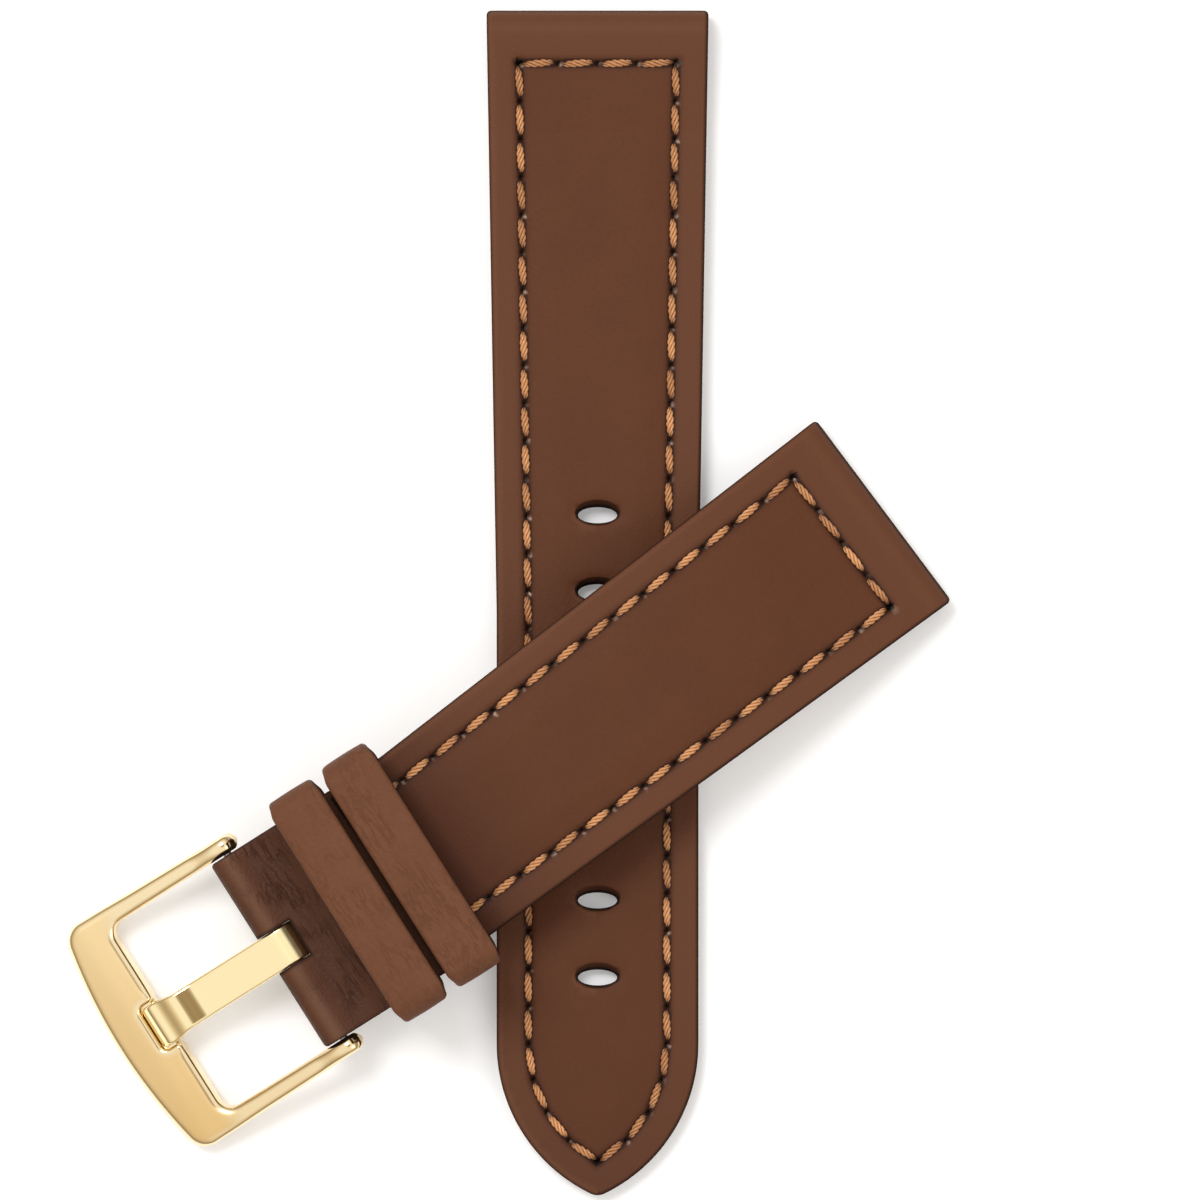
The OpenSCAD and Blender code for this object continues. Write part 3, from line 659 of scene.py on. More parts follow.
def stitchTree():
    tree = bpy.data.node_groups.new("stitchRow", "GeometryNodeTree")
    face = tree.interface
    face.new_socket("Row", in_out="INPUT", socket_type="NodeSocketGeometry")
    for label, kind, value in (
        ("Thread Width", "NodeSocketFloat", 0.00086), ("Stitch Gap", "NodeSocketFloat", 0.0006),
        ("Rise", "NodeSocketFloat", 0.0003), ("Dive", "NodeSocketFloat", 0.0004),
        ("Turns", "NodeSocketFloat", 1.25), ("Slant", "NodeSocketFloat", 0.07), ("Plies", "NodeSocketInt", 4),
        ("Rings", "NodeSocketInt", 17), ("Seed", "NodeSocketInt", 5), ("Thread", "NodeSocketMaterial", None),
    ):
        socket = face.new_socket(label, in_out="INPUT", socket_type=kind)
        if value is not None:
            socket.default_value = value
    face.new_socket("Stitches", in_out="OUTPUT", socket_type="NodeSocketGeometry")
    given = tree.nodes.new("NodeGroupInput").outputs
    width = Number(given["Thread Width"])

    # one stitch, a unit long along x: plies that wind round each other and dive at both ends
    line = addNode(tree, "GeometryNodeCurvePrimitiveLine", {"Start": (-0.5, 0, 0), "End": (0.5, 0, 0)})
    line = addNode(tree, "GeometryNodeResampleCurve", {"Curve": line.outputs[0], "Count": given["Rings"]})
    plies = addNode(tree, "GeometryNodeDuplicateElements",
                    {"Geometry": line.outputs[0], "Amount": given["Plies"]}, domain="SPLINE")
    along = Number(tree.nodes.new("GeometryNodeSplineParameter").outputs["Factor"])
    centred = along * 2.0 - 1.0
    square = centred * centred
    fourth = square * square
    full = 1.0 - (square * cord["taper"] + fourth * cord["endTaper"])
    phase = Number(plies.outputs[1]) * (2 * math.pi) / given["Plies"]
    wind = phase + along * given["Turns"] * (2 * math.pi)
    off = width * cord["plyOff"] * full
    y = off * maths("COSINE", wind)
    z = off * maths("SINE", wind) + (given["Rise"] - width * 0.5 - Number(given["Dive"]) * fourth)
    spot = addNode(tree, "ShaderNodeCombineXYZ", {0: along - 0.5, 1: y, 2: z})
    wound = addNode(tree, "GeometryNodeSetPosition",
                    {"Geometry": plies.outputs[0], "Position": spot.outputs[0]})
    # painted shade towards both ends, where the stitch dives into the leather
    endShade = maths("POWER", square, cord["endShade"])
    ends = addNode(tree, "GeometryNodeStoreNamedAttribute",
                   {"Geometry": wound.outputs[0], "Name": "stitchEndShade", "Value": endShade},
                   data_type="FLOAT", domain="POINT")
    ring = addNode(tree, "GeometryNodeCurvePrimitiveCircle", {"Resolution": 6, "Radius": 1.0}, mode="RADIUS")
    ply = addNode(tree, "GeometryNodeCurveToMesh",
                  {"Curve": ends.outputs[0], "Profile Curve": ring.outputs[0],
                   "Scale": width * cord["plyThick"] * full, "Fill Caps": True})

    # one for each edge of the row, turned to it and to the leather's own up
    edge = tree.nodes.new("GeometryNodeInputMeshEdgeVertices").outputs
    run = addNode(tree, "ShaderNodeVectorMath", {0: edge["Position 2"], 1: edge["Position 1"]},
                  operation="SUBTRACT").outputs[0]
    kept = addNode(tree, "GeometryNodeStoreNamedAttribute",
                   {"Geometry": given["Row"], "Name": "stitchRun", "Value": run},
                   data_type="FLOAT_VECTOR", domain="EDGE")
    spots = addNode(tree, "GeometryNodeMeshToPoints", {"Mesh": kept.outputs[0]}, mode="EDGES")
    runAt, upAt = [addNode(tree, "GeometryNodeInputNamedAttribute", {"Name": name},
                           data_type="FLOAT_VECTOR").outputs[0] for name in ("stitchRun", "rowUp")]
    facing = addNode(tree, "FunctionNodeAxesToRotation", {0: runAt, 1: upAt}, primary_axis="X",
                     secondary_axis="Z")
    wobble = addNode(tree, "FunctionNodeRandomValue",
                     {"Seed": given["Seed"], 2: cord["slantFrom"], 3: cord["slantTo"]}, data_type="FLOAT")
    slant = addNode(tree, "FunctionNodeAxisAngleToRotation",
                    {"Axis": (0, 0, 1), "Angle": Number(given["Slant"]) * wobble.outputs[1]})
    facing = addNode(tree, "FunctionNodeRotateRotation", {0: facing.outputs[0], 1: slant.outputs[0]},
                     rotation_space="LOCAL")
    length = addNode(tree, "ShaderNodeVectorMath", {0: runAt}, operation="LENGTH").outputs["Value"]
    size = addNode(tree, "ShaderNodeCombineXYZ", {0: Number(length) - given["Stitch Gap"], 1: 1.0, 2: 1.0})
    placed = addNode(tree, "GeometryNodeInstanceOnPoints",
                     {"Points": spots.outputs[0], "Instance": ply.outputs[0], "Rotation": facing.outputs[0],
                      "Scale": size.outputs[0]})
    tone = addNode(tree, "FunctionNodeRandomValue", {"Seed": given["Seed"]}, data_type="FLOAT")
    toned = addNode(tree, "GeometryNodeStoreNamedAttribute",
                    {"Geometry": placed.outputs[0], "Name": "stitchTone",
                     "Value": Number(tone.outputs[1]) * cord["toneSpread"]},
                    data_type="FLOAT", domain="INSTANCE")
    real = addNode(tree, "GeometryNodeRealizeInstances", {0: toned.outputs[0]})
    soft = addNode(tree, "GeometryNodeSetShadeSmooth", {0: real.outputs[0]})
    dressed = addNode(tree, "GeometryNodeSetMaterial",
                      {"Geometry": soft.outputs[0], "Material": given["Thread"]})
    addNode(tree, "NodeGroupOutput", {0: dressed.outputs[0]})
    return tree


stitchRow = stitchTree()
backThread = {"Dive": stitching["backDive"] * mm, "Thread Width": stitching["backWidth"] * mm}


# A row of stitches, one for each edge between its points
def sewRow(name, node, body, place, points, ups, values, edges=None):
    mesh = bpy.data.meshes.new(name)
    edges = edges or [(i, i + 1) for i in range(len(points) - 1)]
    mesh.from_pydata([tuple(p) for p in place.put(points)], edges, [])
    layer = mesh.attributes.new("rowUp", "FLOAT_VECTOR", "POINT")
    layer.data.foreach_set("vector", place.turn(ups).astype(np.float32).ravel())
    row = addObject(name, mesh)
    nodes = row.modifiers.new("Stitches", "NODES")
    nodes.node_group = stitchRow
    inputs = {"Thread Width": stitching["threadWidth"] * mm, "Stitch Gap": stitching["gap"] * mm,
              "Rise": stitching["rise"] * mm, "Thread": tanThread, **values}
    for item in stitchRow.interface.items_tree:
        if item.item_type == "SOCKET" and item.in_out == "INPUT" and item.name in inputs:
            nodes[item.identifier] = inputs[item.name]
    dress(bakeModifiers(row), tanThread, body, node)


# Both straps: rows of stitches, masks and turned ends

sink = {"groove": 0.16, "grooveWidth": 0.45, "needle": 0.5, "needleWidth": 0.26, "corner": 0.3,
        "cornerWidth": 0.45}
# Painted shade along the rows: a halo, a dark bed beside each stitch, and the needle holes and corners
rowTone = {"halo": 0.35, "haloWidth": 0.7, "bed": 0.6, "bedHalf": 0.16, "bedSwell": 0.3, "needleWidth": 0.3,
           "cornerWidth": 0.5}
glints = {"seed": 8, "off": 0.3, "spread": 0.06, "width": 0.13, "down": 0.8}
# Widths of the dark edges; the wide one, on the sides that face right or down in the picture, is edge paint and
# painted shade
paint = {"wide": 0.3, "narrow": 0.16, "lining": 0.12, "skin": 0.03, "down": 0.6}
# Painted highlight over the fold and on the bevels that face the light, and the reach of the lighter border
upperTone = {"borderRun": 0.8, "fold": 0.2, "foldAt": 1.7, "foldWidth": 0.9, "bevelHighlight": 0.35, "bevelIn": 0.42,
             "bevelWidth": 0.16}


def stepsIn(length):
    return max(1, round(length / stitching["pitch"]))


def evenRow(start, end):
    start, end = np.asarray(start, float), np.asarray(end, float)
    count = stepsIn(np.abs(end - start).max())
    return [start + (end - start) * i / count for i in range(count + 1)]


def withoutRepeats(points):
    points = [np.array(p, float) for p in points]
    kept = [points[0]]
    for p in points[1:]:
        if np.linalg.norm(p - kept[-1]) > 0.01:
            kept.append(p)
    return np.array(kept)


# Points of a finer net along a row, close to its line and wider apart beside it
def rowNet(path):
    rows = []
    for a, b in zip(path[:-1], path[1:]):
        run = b - a
        side = np.array([-run[1], run[0]]) / np.linalg.norm(run)
        for off in (0, 0.2, 0.38, 0.56, 0.9):
            for t in np.linspace(0, 1, 15, endpoint=False):
                rows.append(a + run * t + side * off)
                if off:
                    rows.append(a + run * t - side * off)
    return np.array(rows)


# Where the row turns a corner, and where it closes
def rowCorners(path):
    runs = np.diff(path, axis=0)
    turns = [abs(math.sin(math.atan2(*b) - math.atan2(*a))) > 0.9 for a, b in zip(runs[:-1], runs[1:])]
    corners = [p for p, turned in zip(path[1:-1], turns) if turned]
    if abs(path[0] - path[-1]).max() < 0.1:
        corners.append(path[0])
    return corners


def nearest(plan, spots):
    return np.min([np.hypot(*(plan - p).T) for p in spots], axis=0)


def rowSink(plan, path):
    return (sink["groove"] * bell(loopDistance(plan, path, closed=False), sink["grooveWidth"])
            + sink["needle"] * bell(nearest(plan, path), sink["needleWidth"])
            + sink["corner"] * bell(nearest(plan, rowCorners(path)), sink["cornerWidth"]))


# Nearest stitch to each point of a plan: how far off it is, and how far along it, 0 to 1
def nearestStitch(plan, path):
    off, at = np.full(len(plan), 1e9), np.zeros(len(plan))
    for a, b in zip(path[:-1], path[1:]):
        run = b - a
        t = np.clip((plan - a) @ run / (run @ run), 0, 1)
        gap = np.hypot(*(plan - a - t[:, None] * run).T)
        closer = gap < off
        off[closer], at[closer] = gap[closer], t[closer]
    return off, at


# Painted shade round the stitches, in the needle holes and at the corners
def rowMasks(path):
    tone = rowTone

    def rowShade(plan, rimGap, isTop):
        off, at = nearestStitch(plan, path)
        half = tone["bedHalf"] + tone["bedSwell"] * (1 - np.abs(2 * at - 1) ** 4)
        halo = tone["halo"] * np.exp(-(off / tone["haloWidth"]) ** 4)
        return halo + tone["bed"] * smooth((half + 0.1 - off) / 0.14)

    def needle(plan, rimGap, isTop):
        return (np.exp(-(nearest(plan, path) / tone["needleWidth"]) ** 4)
                + np.exp(-(nearest(plan, rowCorners(path)) / tone["cornerWidth"]) ** 4))

    return {"rowShade": rowShade, "needle": needle}


# Small lights on the rims of the needle holes, on the side that faces right and down in the picture
def rowGlints(place, path):
    side = place.turn([(1, 0, 0), (0, 1, 0)]) @ unit(pictureRight - glints["down"] * pictureUp)
    rng = np.random.default_rng(glints["seed"])
    spots = [p + glints["off"] * side + rng.normal(0, glints["spread"], 2) for p in path]
    strengths = rng.uniform(0.0, 1.0, len(path)) ** 1.6

    def mask(plan, rimGap, isTop):
        lit = [s * bell(np.hypot(*(plan - p).T), glints["width"]) for p, s in zip(spots, strengths)]
        return np.max(lit, axis=0) * isTop

    return mask


def rimMask(plan, rimGap, isTop):
    return np.clip(1 - rimGap / paint["lining"], 0, 1) ** 2


# Above 0 where the nearest side of a strap faces right or down in the picture
def facingSide(place, halfOf, plan):
    right = place.turn([(1, 0, 0), (0, 1, 0)]) @ (pictureRight - paint["down"] * pictureUp)
    x, y = plan.T
    return np.where(halfOf(x) - np.abs(y) < x, np.sign(y) * right[1], -right[0])


# Edge paint: a thin dark line, made wider by painted shade on the sides that face right or down
def edgePaintAndShade(place, halfOf):
    def mask(plan, rimGap, isTop):
        reach = np.where(facingSide(place, halfOf, plan) > 0, paint["wide"], paint["narrow"])
        return np.clip(1 - rimGap / reach, 0, 1) ** 0.6

    return mask


# Tone of the upper leather: a little lighter outside the rows, with a painted highlight over the fold and on the
# bevels that face the light
def upperMasks(place, halfOf, loop, path):
    tone = upperTone

    def border(plan, rimGap, isTop):
        outside = smooth(loopDistance(plan, path, closed=False) / tone["borderRun"])
        return np.where(isInside(plan, loop), 0, outside)

    def paintedHighlight(plan, rimGap, isTop):
        lit = facingSide(place, halfOf, plan) < 0
        bevelHighlight = tone["bevelHighlight"] * bell(rimGap - tone["bevelIn"], tone["bevelWidth"]) * lit
        return np.maximum(bell(plan[:, 0] - tone["foldAt"], tone["foldWidth"]) * tone["fold"], bevelHighlight)

    return {**rowMasks(path), "border": border, "paintedHighlight": paintedHighlight, "glint": rowGlints(place, path)}


# The bore through the turned end, the edge paint on the faces that it cut, and the finish
def finishUpper(piece, place, halfOf, body, node):
    cutAway(piece, rodCutter(place, (lugR, 0, lugR), lugEnd["bore"], lugEnd["boreCut"]))
    layer = piece.data.attributes["rim"]
    values = np.empty(len(layer.data), np.float32)
    layer.data.foreach_get("value", values)
    spots = place.read(piece)
    values[np.abs(spots[:, 1]) > halfOf(spots[:, 0]) - paint["skin"]] = 1
    layer.data.foreach_set("value", values)
    dress(piece, brownLeather, body, node)


# Lines of net points across a strap, where its height bends
def linesAt(xs, half):
    ys = np.arange(-half, half, nets["outline"])
    return np.array([(x, y) for x in xs for y in ys])


lugR = lugEnd["thick"] / 2
foldLines = [0.02, 0.08, 0.2, 0.4, 0.65, 0.95, 1.3, 1.7]


def foldRise(x):
    return np.sqrt(np.maximum(lugR ** 2 - (x - lugR) ** 2, 0))


# Swell of the padding inside the row, from near the lug end on
def padding(plan, loop, height):
    inner = isInside(plan, loop) * loopDistance(plan, loop)
    start = smooth((plan[:, 0] - layers["padFrom"]) / layers["padRamp"])
    return height * smooth(inner / layers["padRun"]) * start


# Long strap

longStrap = {"length": 118.0, "lugWidth": 22.1, "tailWidth": 20.1, "taper": 60.0, "thick": 3.4,
             "tailThick": 2.5, "tipRadius": 16.6, "tipRound": 1.6, "holes": 7, "firstHole": 50.0,
             "holeStep": 7.68, "holeAcross": 4.5, "holeAlong": 2.5, "floorAcross": 3.9, "floorAlong": 1.6,
             "floorShift": 0.26, "lipDepth": 1.3, "lipSwell": 0.14, "pad": 0.28, "edgeRound": 0.45,
             "duskFrom": 90.0, "duskRun": 60.0, "padFade": 80.0, "padFadeRun": 30.0, "wallTone": 0.72,
             "lipReach": 1.12, "lipTone": 0.55, "backRise": -0.03}
longPlace = strapPlace("long_lug_bore")
tipCentre = longStrap["tipRadius"] - longStrap["tailWidth"] / 2
tipRun = math.sqrt((longStrap["tipRadius"] - longStrap["tipRound"]) ** 2 - tipCentre ** 2)
tipStart = longStrap["length"] - longStrap["tipRound"] - tipRun


def longHalf(x):
    s = longStrap
    return np.interp(x, [0, s["taper"]], [s["lugWidth"] / 2, s["tailWidth"] / 2])


def longOutline():
    s = longStrap
    corner = lugEnd["corner"]
    nose = math.degrees(math.atan2(tipRun, tipCentre))
    side = [*arcPoints((corner, longHalf(0) - corner), corner, 180, 90, 6), (s["taper"], s["tailWidth"] / 2)]
    arc = arcPoints((tipStart, -tipCentre), s["tipRadius"], 90, 90 - nose, 48)
    tip = arcPoints((tipStart + tipRun, 0), s["tipRound"], 90 - nose, 0, 12)
    half = np.concatenate([side, arc, tip[1:]])
    return evenLoop(np.concatenate([(half * [1, -1])[::-1][1:], half]), nets["outline"])


def ovalLoop(x, along, across, count=44):
    turn = np.linspace(0, 2 * np.pi, count, endpoint=False)
    return np.stack([x + along / 2 * np.cos(turn), across / 2 * np.sin(turn)], 1)


def longRows():
    x, inset = stitching["lugRow"], stitching["inset"]
    half = longHalf(x) - inset
    rowR = longStrap["tipRadius"] - inset
    end = math.degrees(math.acos(tipCentre / rowR))
    tip = arcPoints((tipStart, -tipCentre), rowR, 90, 90 - end, stepsIn(rowR * math.radians(end)))
    steps = stepsIn(tipStart - x)
    side = np.array([(t, longHalf(t) - inset) for t in np.linspace(x, tipStart, steps + 1)])
    cross = evenRow((x, half), (x, -half))
    return withoutRepeats([*cross, *(side * [1, -1]), *(tip * [1, -1]), *tip[::-1], *side[::-1]])


longPath = longRows()
longLoop = longPath[:-1]
holeSpots = [longStrap["firstHole"] + i * longStrap["holeStep"] for i in range(longStrap["holes"])]
longHoles = [ovalLoop(x + longStrap["floorShift"], longStrap["floorAlong"], longStrap["floorAcross"])
             for x in holeSpots]


# How far up the sloping wall of a hole each point lies, 0 at its floor and 1 and more outside it
def holeWall(plan):
    s = longStrap
    x, y = plan.T
    best = np.full(len(plan), 9.0)
    for spot in holeSpots:
        outer = np.hypot(2 * y / s["holeAcross"], 2 * (x - spot) / s["holeAlong"])
        inner = np.hypot(2 * y / s["floorAcross"], 2 * (x - spot - s["floorShift"]) / s["floorAlong"])
        wall = (inner - 1) / np.maximum(inner - outer, 1e-6)
        best = np.minimum(best, np.where(outer < 1, np.clip(wall, 0, 1), outer))
    return best


def holeRings():
    s = longStrap
    return np.concatenate([ovalLoop(x, s["holeAlong"] * grow, s["holeAcross"] * grow, 60)
                           for x in holeSpots for grow in (0.86, 0.95, 1.03, 1.15, 1.3)])


def longTopFlat(x):
    s = longStrap
    flat = np.interp(x, [lugR, lugEnd["taperEnd"], s["length"]],
                     [lugEnd["thick"], s["thick"], s["tailThick"]])
    return np.where(x < lugR, lugR + foldRise(x), flat)


def longTop(plan, rimGap):
    s = longStrap
    x = plan[:, 0]
    pad = padding(plan, longLoop, s["pad"]) * (1 - 0.5 * smooth((x - s["padFade"]) / s["padFadeRun"]))
    wall = holeWall(plan)
    press = (s["lipDepth"] * np.clip(1 - wall, 0, 1) ** 0.8
             + s["lipSwell"] * bell(np.maximum(wall - 1, 0), 0.25))
    z = longTopFlat(x) + pad - rowSink(plan, longPath) - press
    # no rounding of the lug end itself, where the fold is round
    side = roundDrop(np.abs(np.abs(plan[:, 1]) - longHalf(x)), s["edgeRound"])
    rim = roundDrop(rimGap, s["edgeRound"]) * (wall > 1.3)
    return z - np.where(x < lugR, np.minimum(side, z - lugR), rim)


def longUnder(plan, rimGap):
    x = plan[:, 0]
    bottom = np.where(x < lugR, lugR - foldRise(x), 0)
    edge = np.where(x < lugR, 0, roundDrop(rimGap, layers["flapRound"]))
    flap = bottom + rowSink(plan, longPath) * (x > lugR) + edge
    return np.where(x > lugEnd["flap"], layers["lining"], flap)


# Painted shade on the sloping walls and lips of the holes, and edge paint elsewhere
def longRim(plan, rimGap, isTop):
    s = longStrap
    wall = holeWall(plan)
    deep = smooth((s["wallTone"] - wall) / 0.3)
    lip = np.maximum(deep, s["lipTone"] * smooth((s["lipReach"] - wall) / 0.25))
    return np.where(wall < 2, lip, edgePaintAndShade(longPlace, longHalf)(plan, rimGap, isTop))


# Painted shade, darker towards the tail
def longPaintedShade(plan, rimGap, isTop):
    return smooth((plan[:, 0] - longStrap["duskFrom"]) / longStrap["duskRun"])


def makeLongUpper():
    fold = linesAt([*foldLines, lugR, 2.6, 3.2, 7.97, 8.03], 11)
    masks = {**upperMasks(longPlace, longHalf, longLoop, longPath), "rim": longRim, "paintedShade": longPaintedShade}
    piece = planSolid("longUpperLeather", longPlace, longOutline(), longHoles, longTop, longUnder,
                      longStrap["edgeRound"], nets["upper"], [rowNet(longPath), fold, holeRings()],
                      masks=masks)
    finishUpper(piece, longPlace, longHalf, "long_strap", "long_upper")


def makeLongLining():
    start = lugEnd["flap"] + layers["seam"]
    outline = longOutline()
    outline = outline[outline[:, 0] > start]
    first = np.argmin(np.abs(outline[:, 0] - outline[:, 0].min()) + (outline[:, 1] > 0) * 100)
    half = longHalf(lugEnd["flap"])
    across = [(start, y) for y in np.linspace(half, -half, 60)]
    outline = np.concatenate([np.roll(outline, -first, axis=0), across])

    def topOf(plan, rimGap):
        return layers["lining"] - 0.01 + 0 * rimGap

    def underOf(plan, rimGap):
        x, y = plan.T
        gap = np.where(x < lugEnd["flap"] + 1, longHalf(x) - np.abs(y), rimGap)
        return rowSink(plan, longPath) * 0.9 + roundDrop(gap, layers["liningRound"])

    piece = planSolid("longLiningLeather", longPlace, outline, longHoles, topOf, underOf,
                      layers["liningRound"], nets["lining"], [rowNet(longPath)],
                      masks={**rowMasks(longPath), "rim": rimMask})
    dress(piece, liningLeather, "long_strap", "long_lining")


def makeLongThreads():
    x = longPath[:, 0]
    sewRow("longTopStitches", "long_thread_top", "long_strap", longPlace, np.c_[longPath, longTopFlat(x)],
           [(0, 0, 1)] * len(x), {"Seed": 3})
    sewRow("longBackStitches", "long_thread_bottom", "long_strap", longPlace, np.c_[longPath, 0 * x],
           [(0, 0, -1)] * len(x), {**backThread, "Seed": 4, "Rise": longStrap["backRise"] * mm})


makeLongUpper()
makeLongLining()
makeLongThreads()
print("long strap made")


# Short strap

shortStrap = {"length": 61.2, "lugWidth": 22.5, "endWidth": 20.5, "thick": 3.4, "archRadius": 130.0,
              "archAt": 45.3, "pad": 0.3, "edgeRound": 0.5, "liningEnd": 59.2, "foldEnd": 88.0,
              "duskFrom": 40.0, "duskRun": 26.0, "keeperShade": 53.6, "padFade": 50.0, "padFadeRun": 8.0,
              "backRise": 0.02}
shortPlace = strapPlace("short_lug_bore")
archMiddle = shortStrap["archRadius"] + shortStrap["thick"] / 2
lugSlope = math.asin((shortStrap["archAt"] - lugR) / archMiddle)
archZ = lugR - archMiddle * math.cos(lugSlope)
foldEnd = math.radians(shortStrap["foldEnd"]) + lugSlope
keepers = {"width": 5.5, "thick": 1.2, "room": 5.4, "round": 2.0, "gap": 0.5, "side": 1.3, "slack": 0.25,
           "spread": 0.08, "forward": 0.5, "edge": 0.5, "crown": 0.18, "puff": 0.08, "step": 0.35,
           "legRun": 1.1, "legNarrow": 0.1, "rimTone": 0.85, "legRimTone": 0.35,
           "stitchAt": 3.0, "stitchLength": 2.8, "stitchRise": 0.32}
rowEnd = shortStrap["length"] - keepers["gap"] / 2 - keepers["width"] / 2


def shortHalf(x):
    s = shortStrap
    return np.interp(x, [0, s["length"]], [s["lugWidth"] / 2, s["endWidth"] / 2])


def archHeight(x, over):
    r = shortStrap["archRadius"] + over
    return archZ + np.sqrt(r ** 2 - (x - shortStrap["archAt"]) ** 2)


# Height of the leather without its padding, on its face (1) or its back (-1): fold, straight run, bow
def shortFlat(x, side):
    over = shortStrap["thick"] if side > 0 else 0
    bowStart = lugEnd["taperEnd"]
    touchX, touchZ = lugR + side * lugR * math.cos(foldEnd), lugR + side * lugR * math.sin(foldEnd)
    line = np.interp(x, [touchX, bowStart], [touchZ, archHeight(bowStart, over)])
    return np.where(x < touchX, lugR + side * foldRise(x), np.where(x < bowStart, line, archHeight(x, over)))


def shortRows():
    x, inset = stitching["lugRow"], stitching["inset"]
    half = shortHalf(x) - inset
    count = stepsIn(rowEnd - x)
    side = np.array([(t, shortHalf(t) - inset) for t in np.linspace(rowEnd, x, count + 1)])
    return withoutRepeats([*side, *evenRow((x, half), (x, -half)), *(side[::-1] * [1, -1])])


shortPath = shortRows()
shortLoop = np.concatenate([shortPath, [(shortStrap["length"] + 8, -7), (shortStrap["length"] + 8, 7)]])


def shortOutline(start, end):
    corner = lugEnd["corner"]
    first = [(start, shortHalf(start))]
    if start == 0:
        first = arcPoints((corner, shortHalf(0) - corner), corner, 180, 90, 6)
    half = np.array([*first, (end, shortHalf(end))])
    return evenLoop(np.concatenate([half * [1, -1], half[::-1]]), nets["outline"])


# Edge paint, and painted shade at the end of the strap, in the gap between the keepers
def shortRim(plan, rimGap, isTop):
    shade = smooth((plan[:, 0] - shortStrap["length"] + 0.9) / 0.5)
    return np.maximum(edgePaintAndShade(shortPlace, shortHalf)(plan, rimGap, isTop), shade * isTop)


# Painted shade: darker towards the keepers, and darkest between them
def shortPaintedShade(plan, rimGap, isTop):
    s = shortStrap
    x = plan[:, 0]
    paintedShade = smooth((x - s["duskFrom"]) / s["duskRun"])
    return np.clip(paintedShade + 0.4 * smooth((x - s["keeperShade"]) / 1.6), 0, 1)


def shortTop(plan, rimGap):
    s = shortStrap
    x = plan[:, 0]
    pad = padding(plan, shortLoop, s["pad"]) * (1 - smooth((x - s["padFade"]) / s["padFadeRun"]))
    z = shortFlat(x, 1) + pad - rowSink(plan, shortPath)
    edge = roundDrop(np.abs(shortHalf(x) - np.abs(plan[:, 1])), s["edgeRound"])
    return z - np.where(x < 2 * lugR, np.minimum(edge, np.maximum(z - lugR, 0)), edge)


def shortUnder(plan, rimGap):
    x = plan[:, 0]
    edge = roundDrop(np.abs(shortHalf(x) - np.abs(plan[:, 1])), layers["flapRound"])
    bare = shortFlat(x, -1) + rowSink(plan, shortPath) * (x > lugR) + np.where(x < lugR, 0, edge)
    lined = (x > lugEnd["taperEnd"]) & (x < shortStrap["liningEnd"])
    return np.where(lined, archHeight(x, layers["lining"]), bare)


def makeShortUpper():
    fold = linesAt([*foldLines, 2.1, 2.6, 3.2, 11.97, 12.03, 59.17, 59.23], 11.2)
    masks = {**upperMasks(shortPlace, shortHalf, shortLoop, shortPath), "rim": shortRim, "paintedShade": shortPaintedShade}
    piece = planSolid("shortUpperLeather", shortPlace, shortOutline(0, shortStrap["length"]), [], shortTop,
                      shortUnder, shortStrap["edgeRound"], nets["upper"], [rowNet(shortPath), fold],
                      masks=masks)
    finishUpper(piece, shortPlace, shortHalf, "short_strap", "short_upper")


def makeShortLining():
    outline = shortOutline(lugEnd["taperEnd"] + layers["seam"], shortStrap["liningEnd"] - layers["seam"])

    def topOf(plan, rimGap):
        return archHeight(plan[:, 0], layers["lining"] - 0.01)

    def underOf(plan, rimGap):
        bottom = archHeight(plan[:, 0], 0) + rowSink(plan, shortPath) * 0.9
        return bottom + roundDrop(rimGap, layers["liningRound"])

    piece = planSolid("shortLiningLeather", shortPlace, outline, [], topOf, underOf, layers["liningRound"],
                      nets["lining"], [rowNet(shortPath)], masks={**rowMasks(shortPath), "rim": rimMask})
    dress(piece, liningLeather, "short_strap", "short_lining")


def slopeUps(x, side):
    rise = (shortFlat(x + 0.05, side) - shortFlat(x - 0.05, side)) / 0.1
    ups = np.c_[-rise, 0 * x, 1 + 0 * x] * side
    return ups / np.linalg.norm(ups, axis=1)[:, None]


def makeShortThreads():
    x = shortPath[:, 0]
    sewRow("shortTopStitches", "short_thread_top", "short_strap", shortPlace,
           np.c_[shortPath, shortFlat(x, 1)], slopeUps(x, 1), {"Seed": 6})
    sewRow("shortBackStitches", "short_thread_bottom", "short_strap", shortPlace,
           np.c_[shortPath, shortFlat(x, -1)], slopeUps(x, -1),
           {**backThread, "Seed": 7, "Rise": shortStrap["backRise"] * mm})


makeShortUpper()
makeShortLining()
makeShortThreads()
print("short strap made")


# Tab, folded round the spring bar

tab = {"length": 12.6, "gap": 0.14, "thin": 2.6, "wrap": 1.1, "pitch": 10.0, "slot": 4.0, "lap": 1.5,
       "flatEnd": 6.2, "wrinkle": 0.055, "edgeRound": 0.4, "meet": 114.0, "meetRun": 3.0, "slotSide": 0.04,
       "bandFrom": 6.0, "bandTo": 11.9, "valleyTone": 0.45, "bandTone": 0.12, "rimTone": 0.95,
       "foldHighlight": 0.4}
bar = {"radius": 0.9, "touch": 0.04}
buckle = {"inside": 21.7, "arm": 2.05, "armTip": 1.75, "reach": 20.2, "barWidth": 5.9, "bow": 1.6,
          "thick": 2.4, "ear": 1.6, "corner": 2.2, "window": 1.5, "notch": 1.9, "notchSide": 0.55,
          "notchFloor": 0.25, "notchLip": 0.5, "notchRound": 0.7, "pin": 0.45, "earHole": 1.1,
          "edgeRound": 0.9, "edgeDrop": 0.55, "armDrop": 0.13, "notchEdge": 0.4, "earLeast": 0.35,
          "crown": 0.25, "edgePolish": 0.75, "armPolish": 0.85}
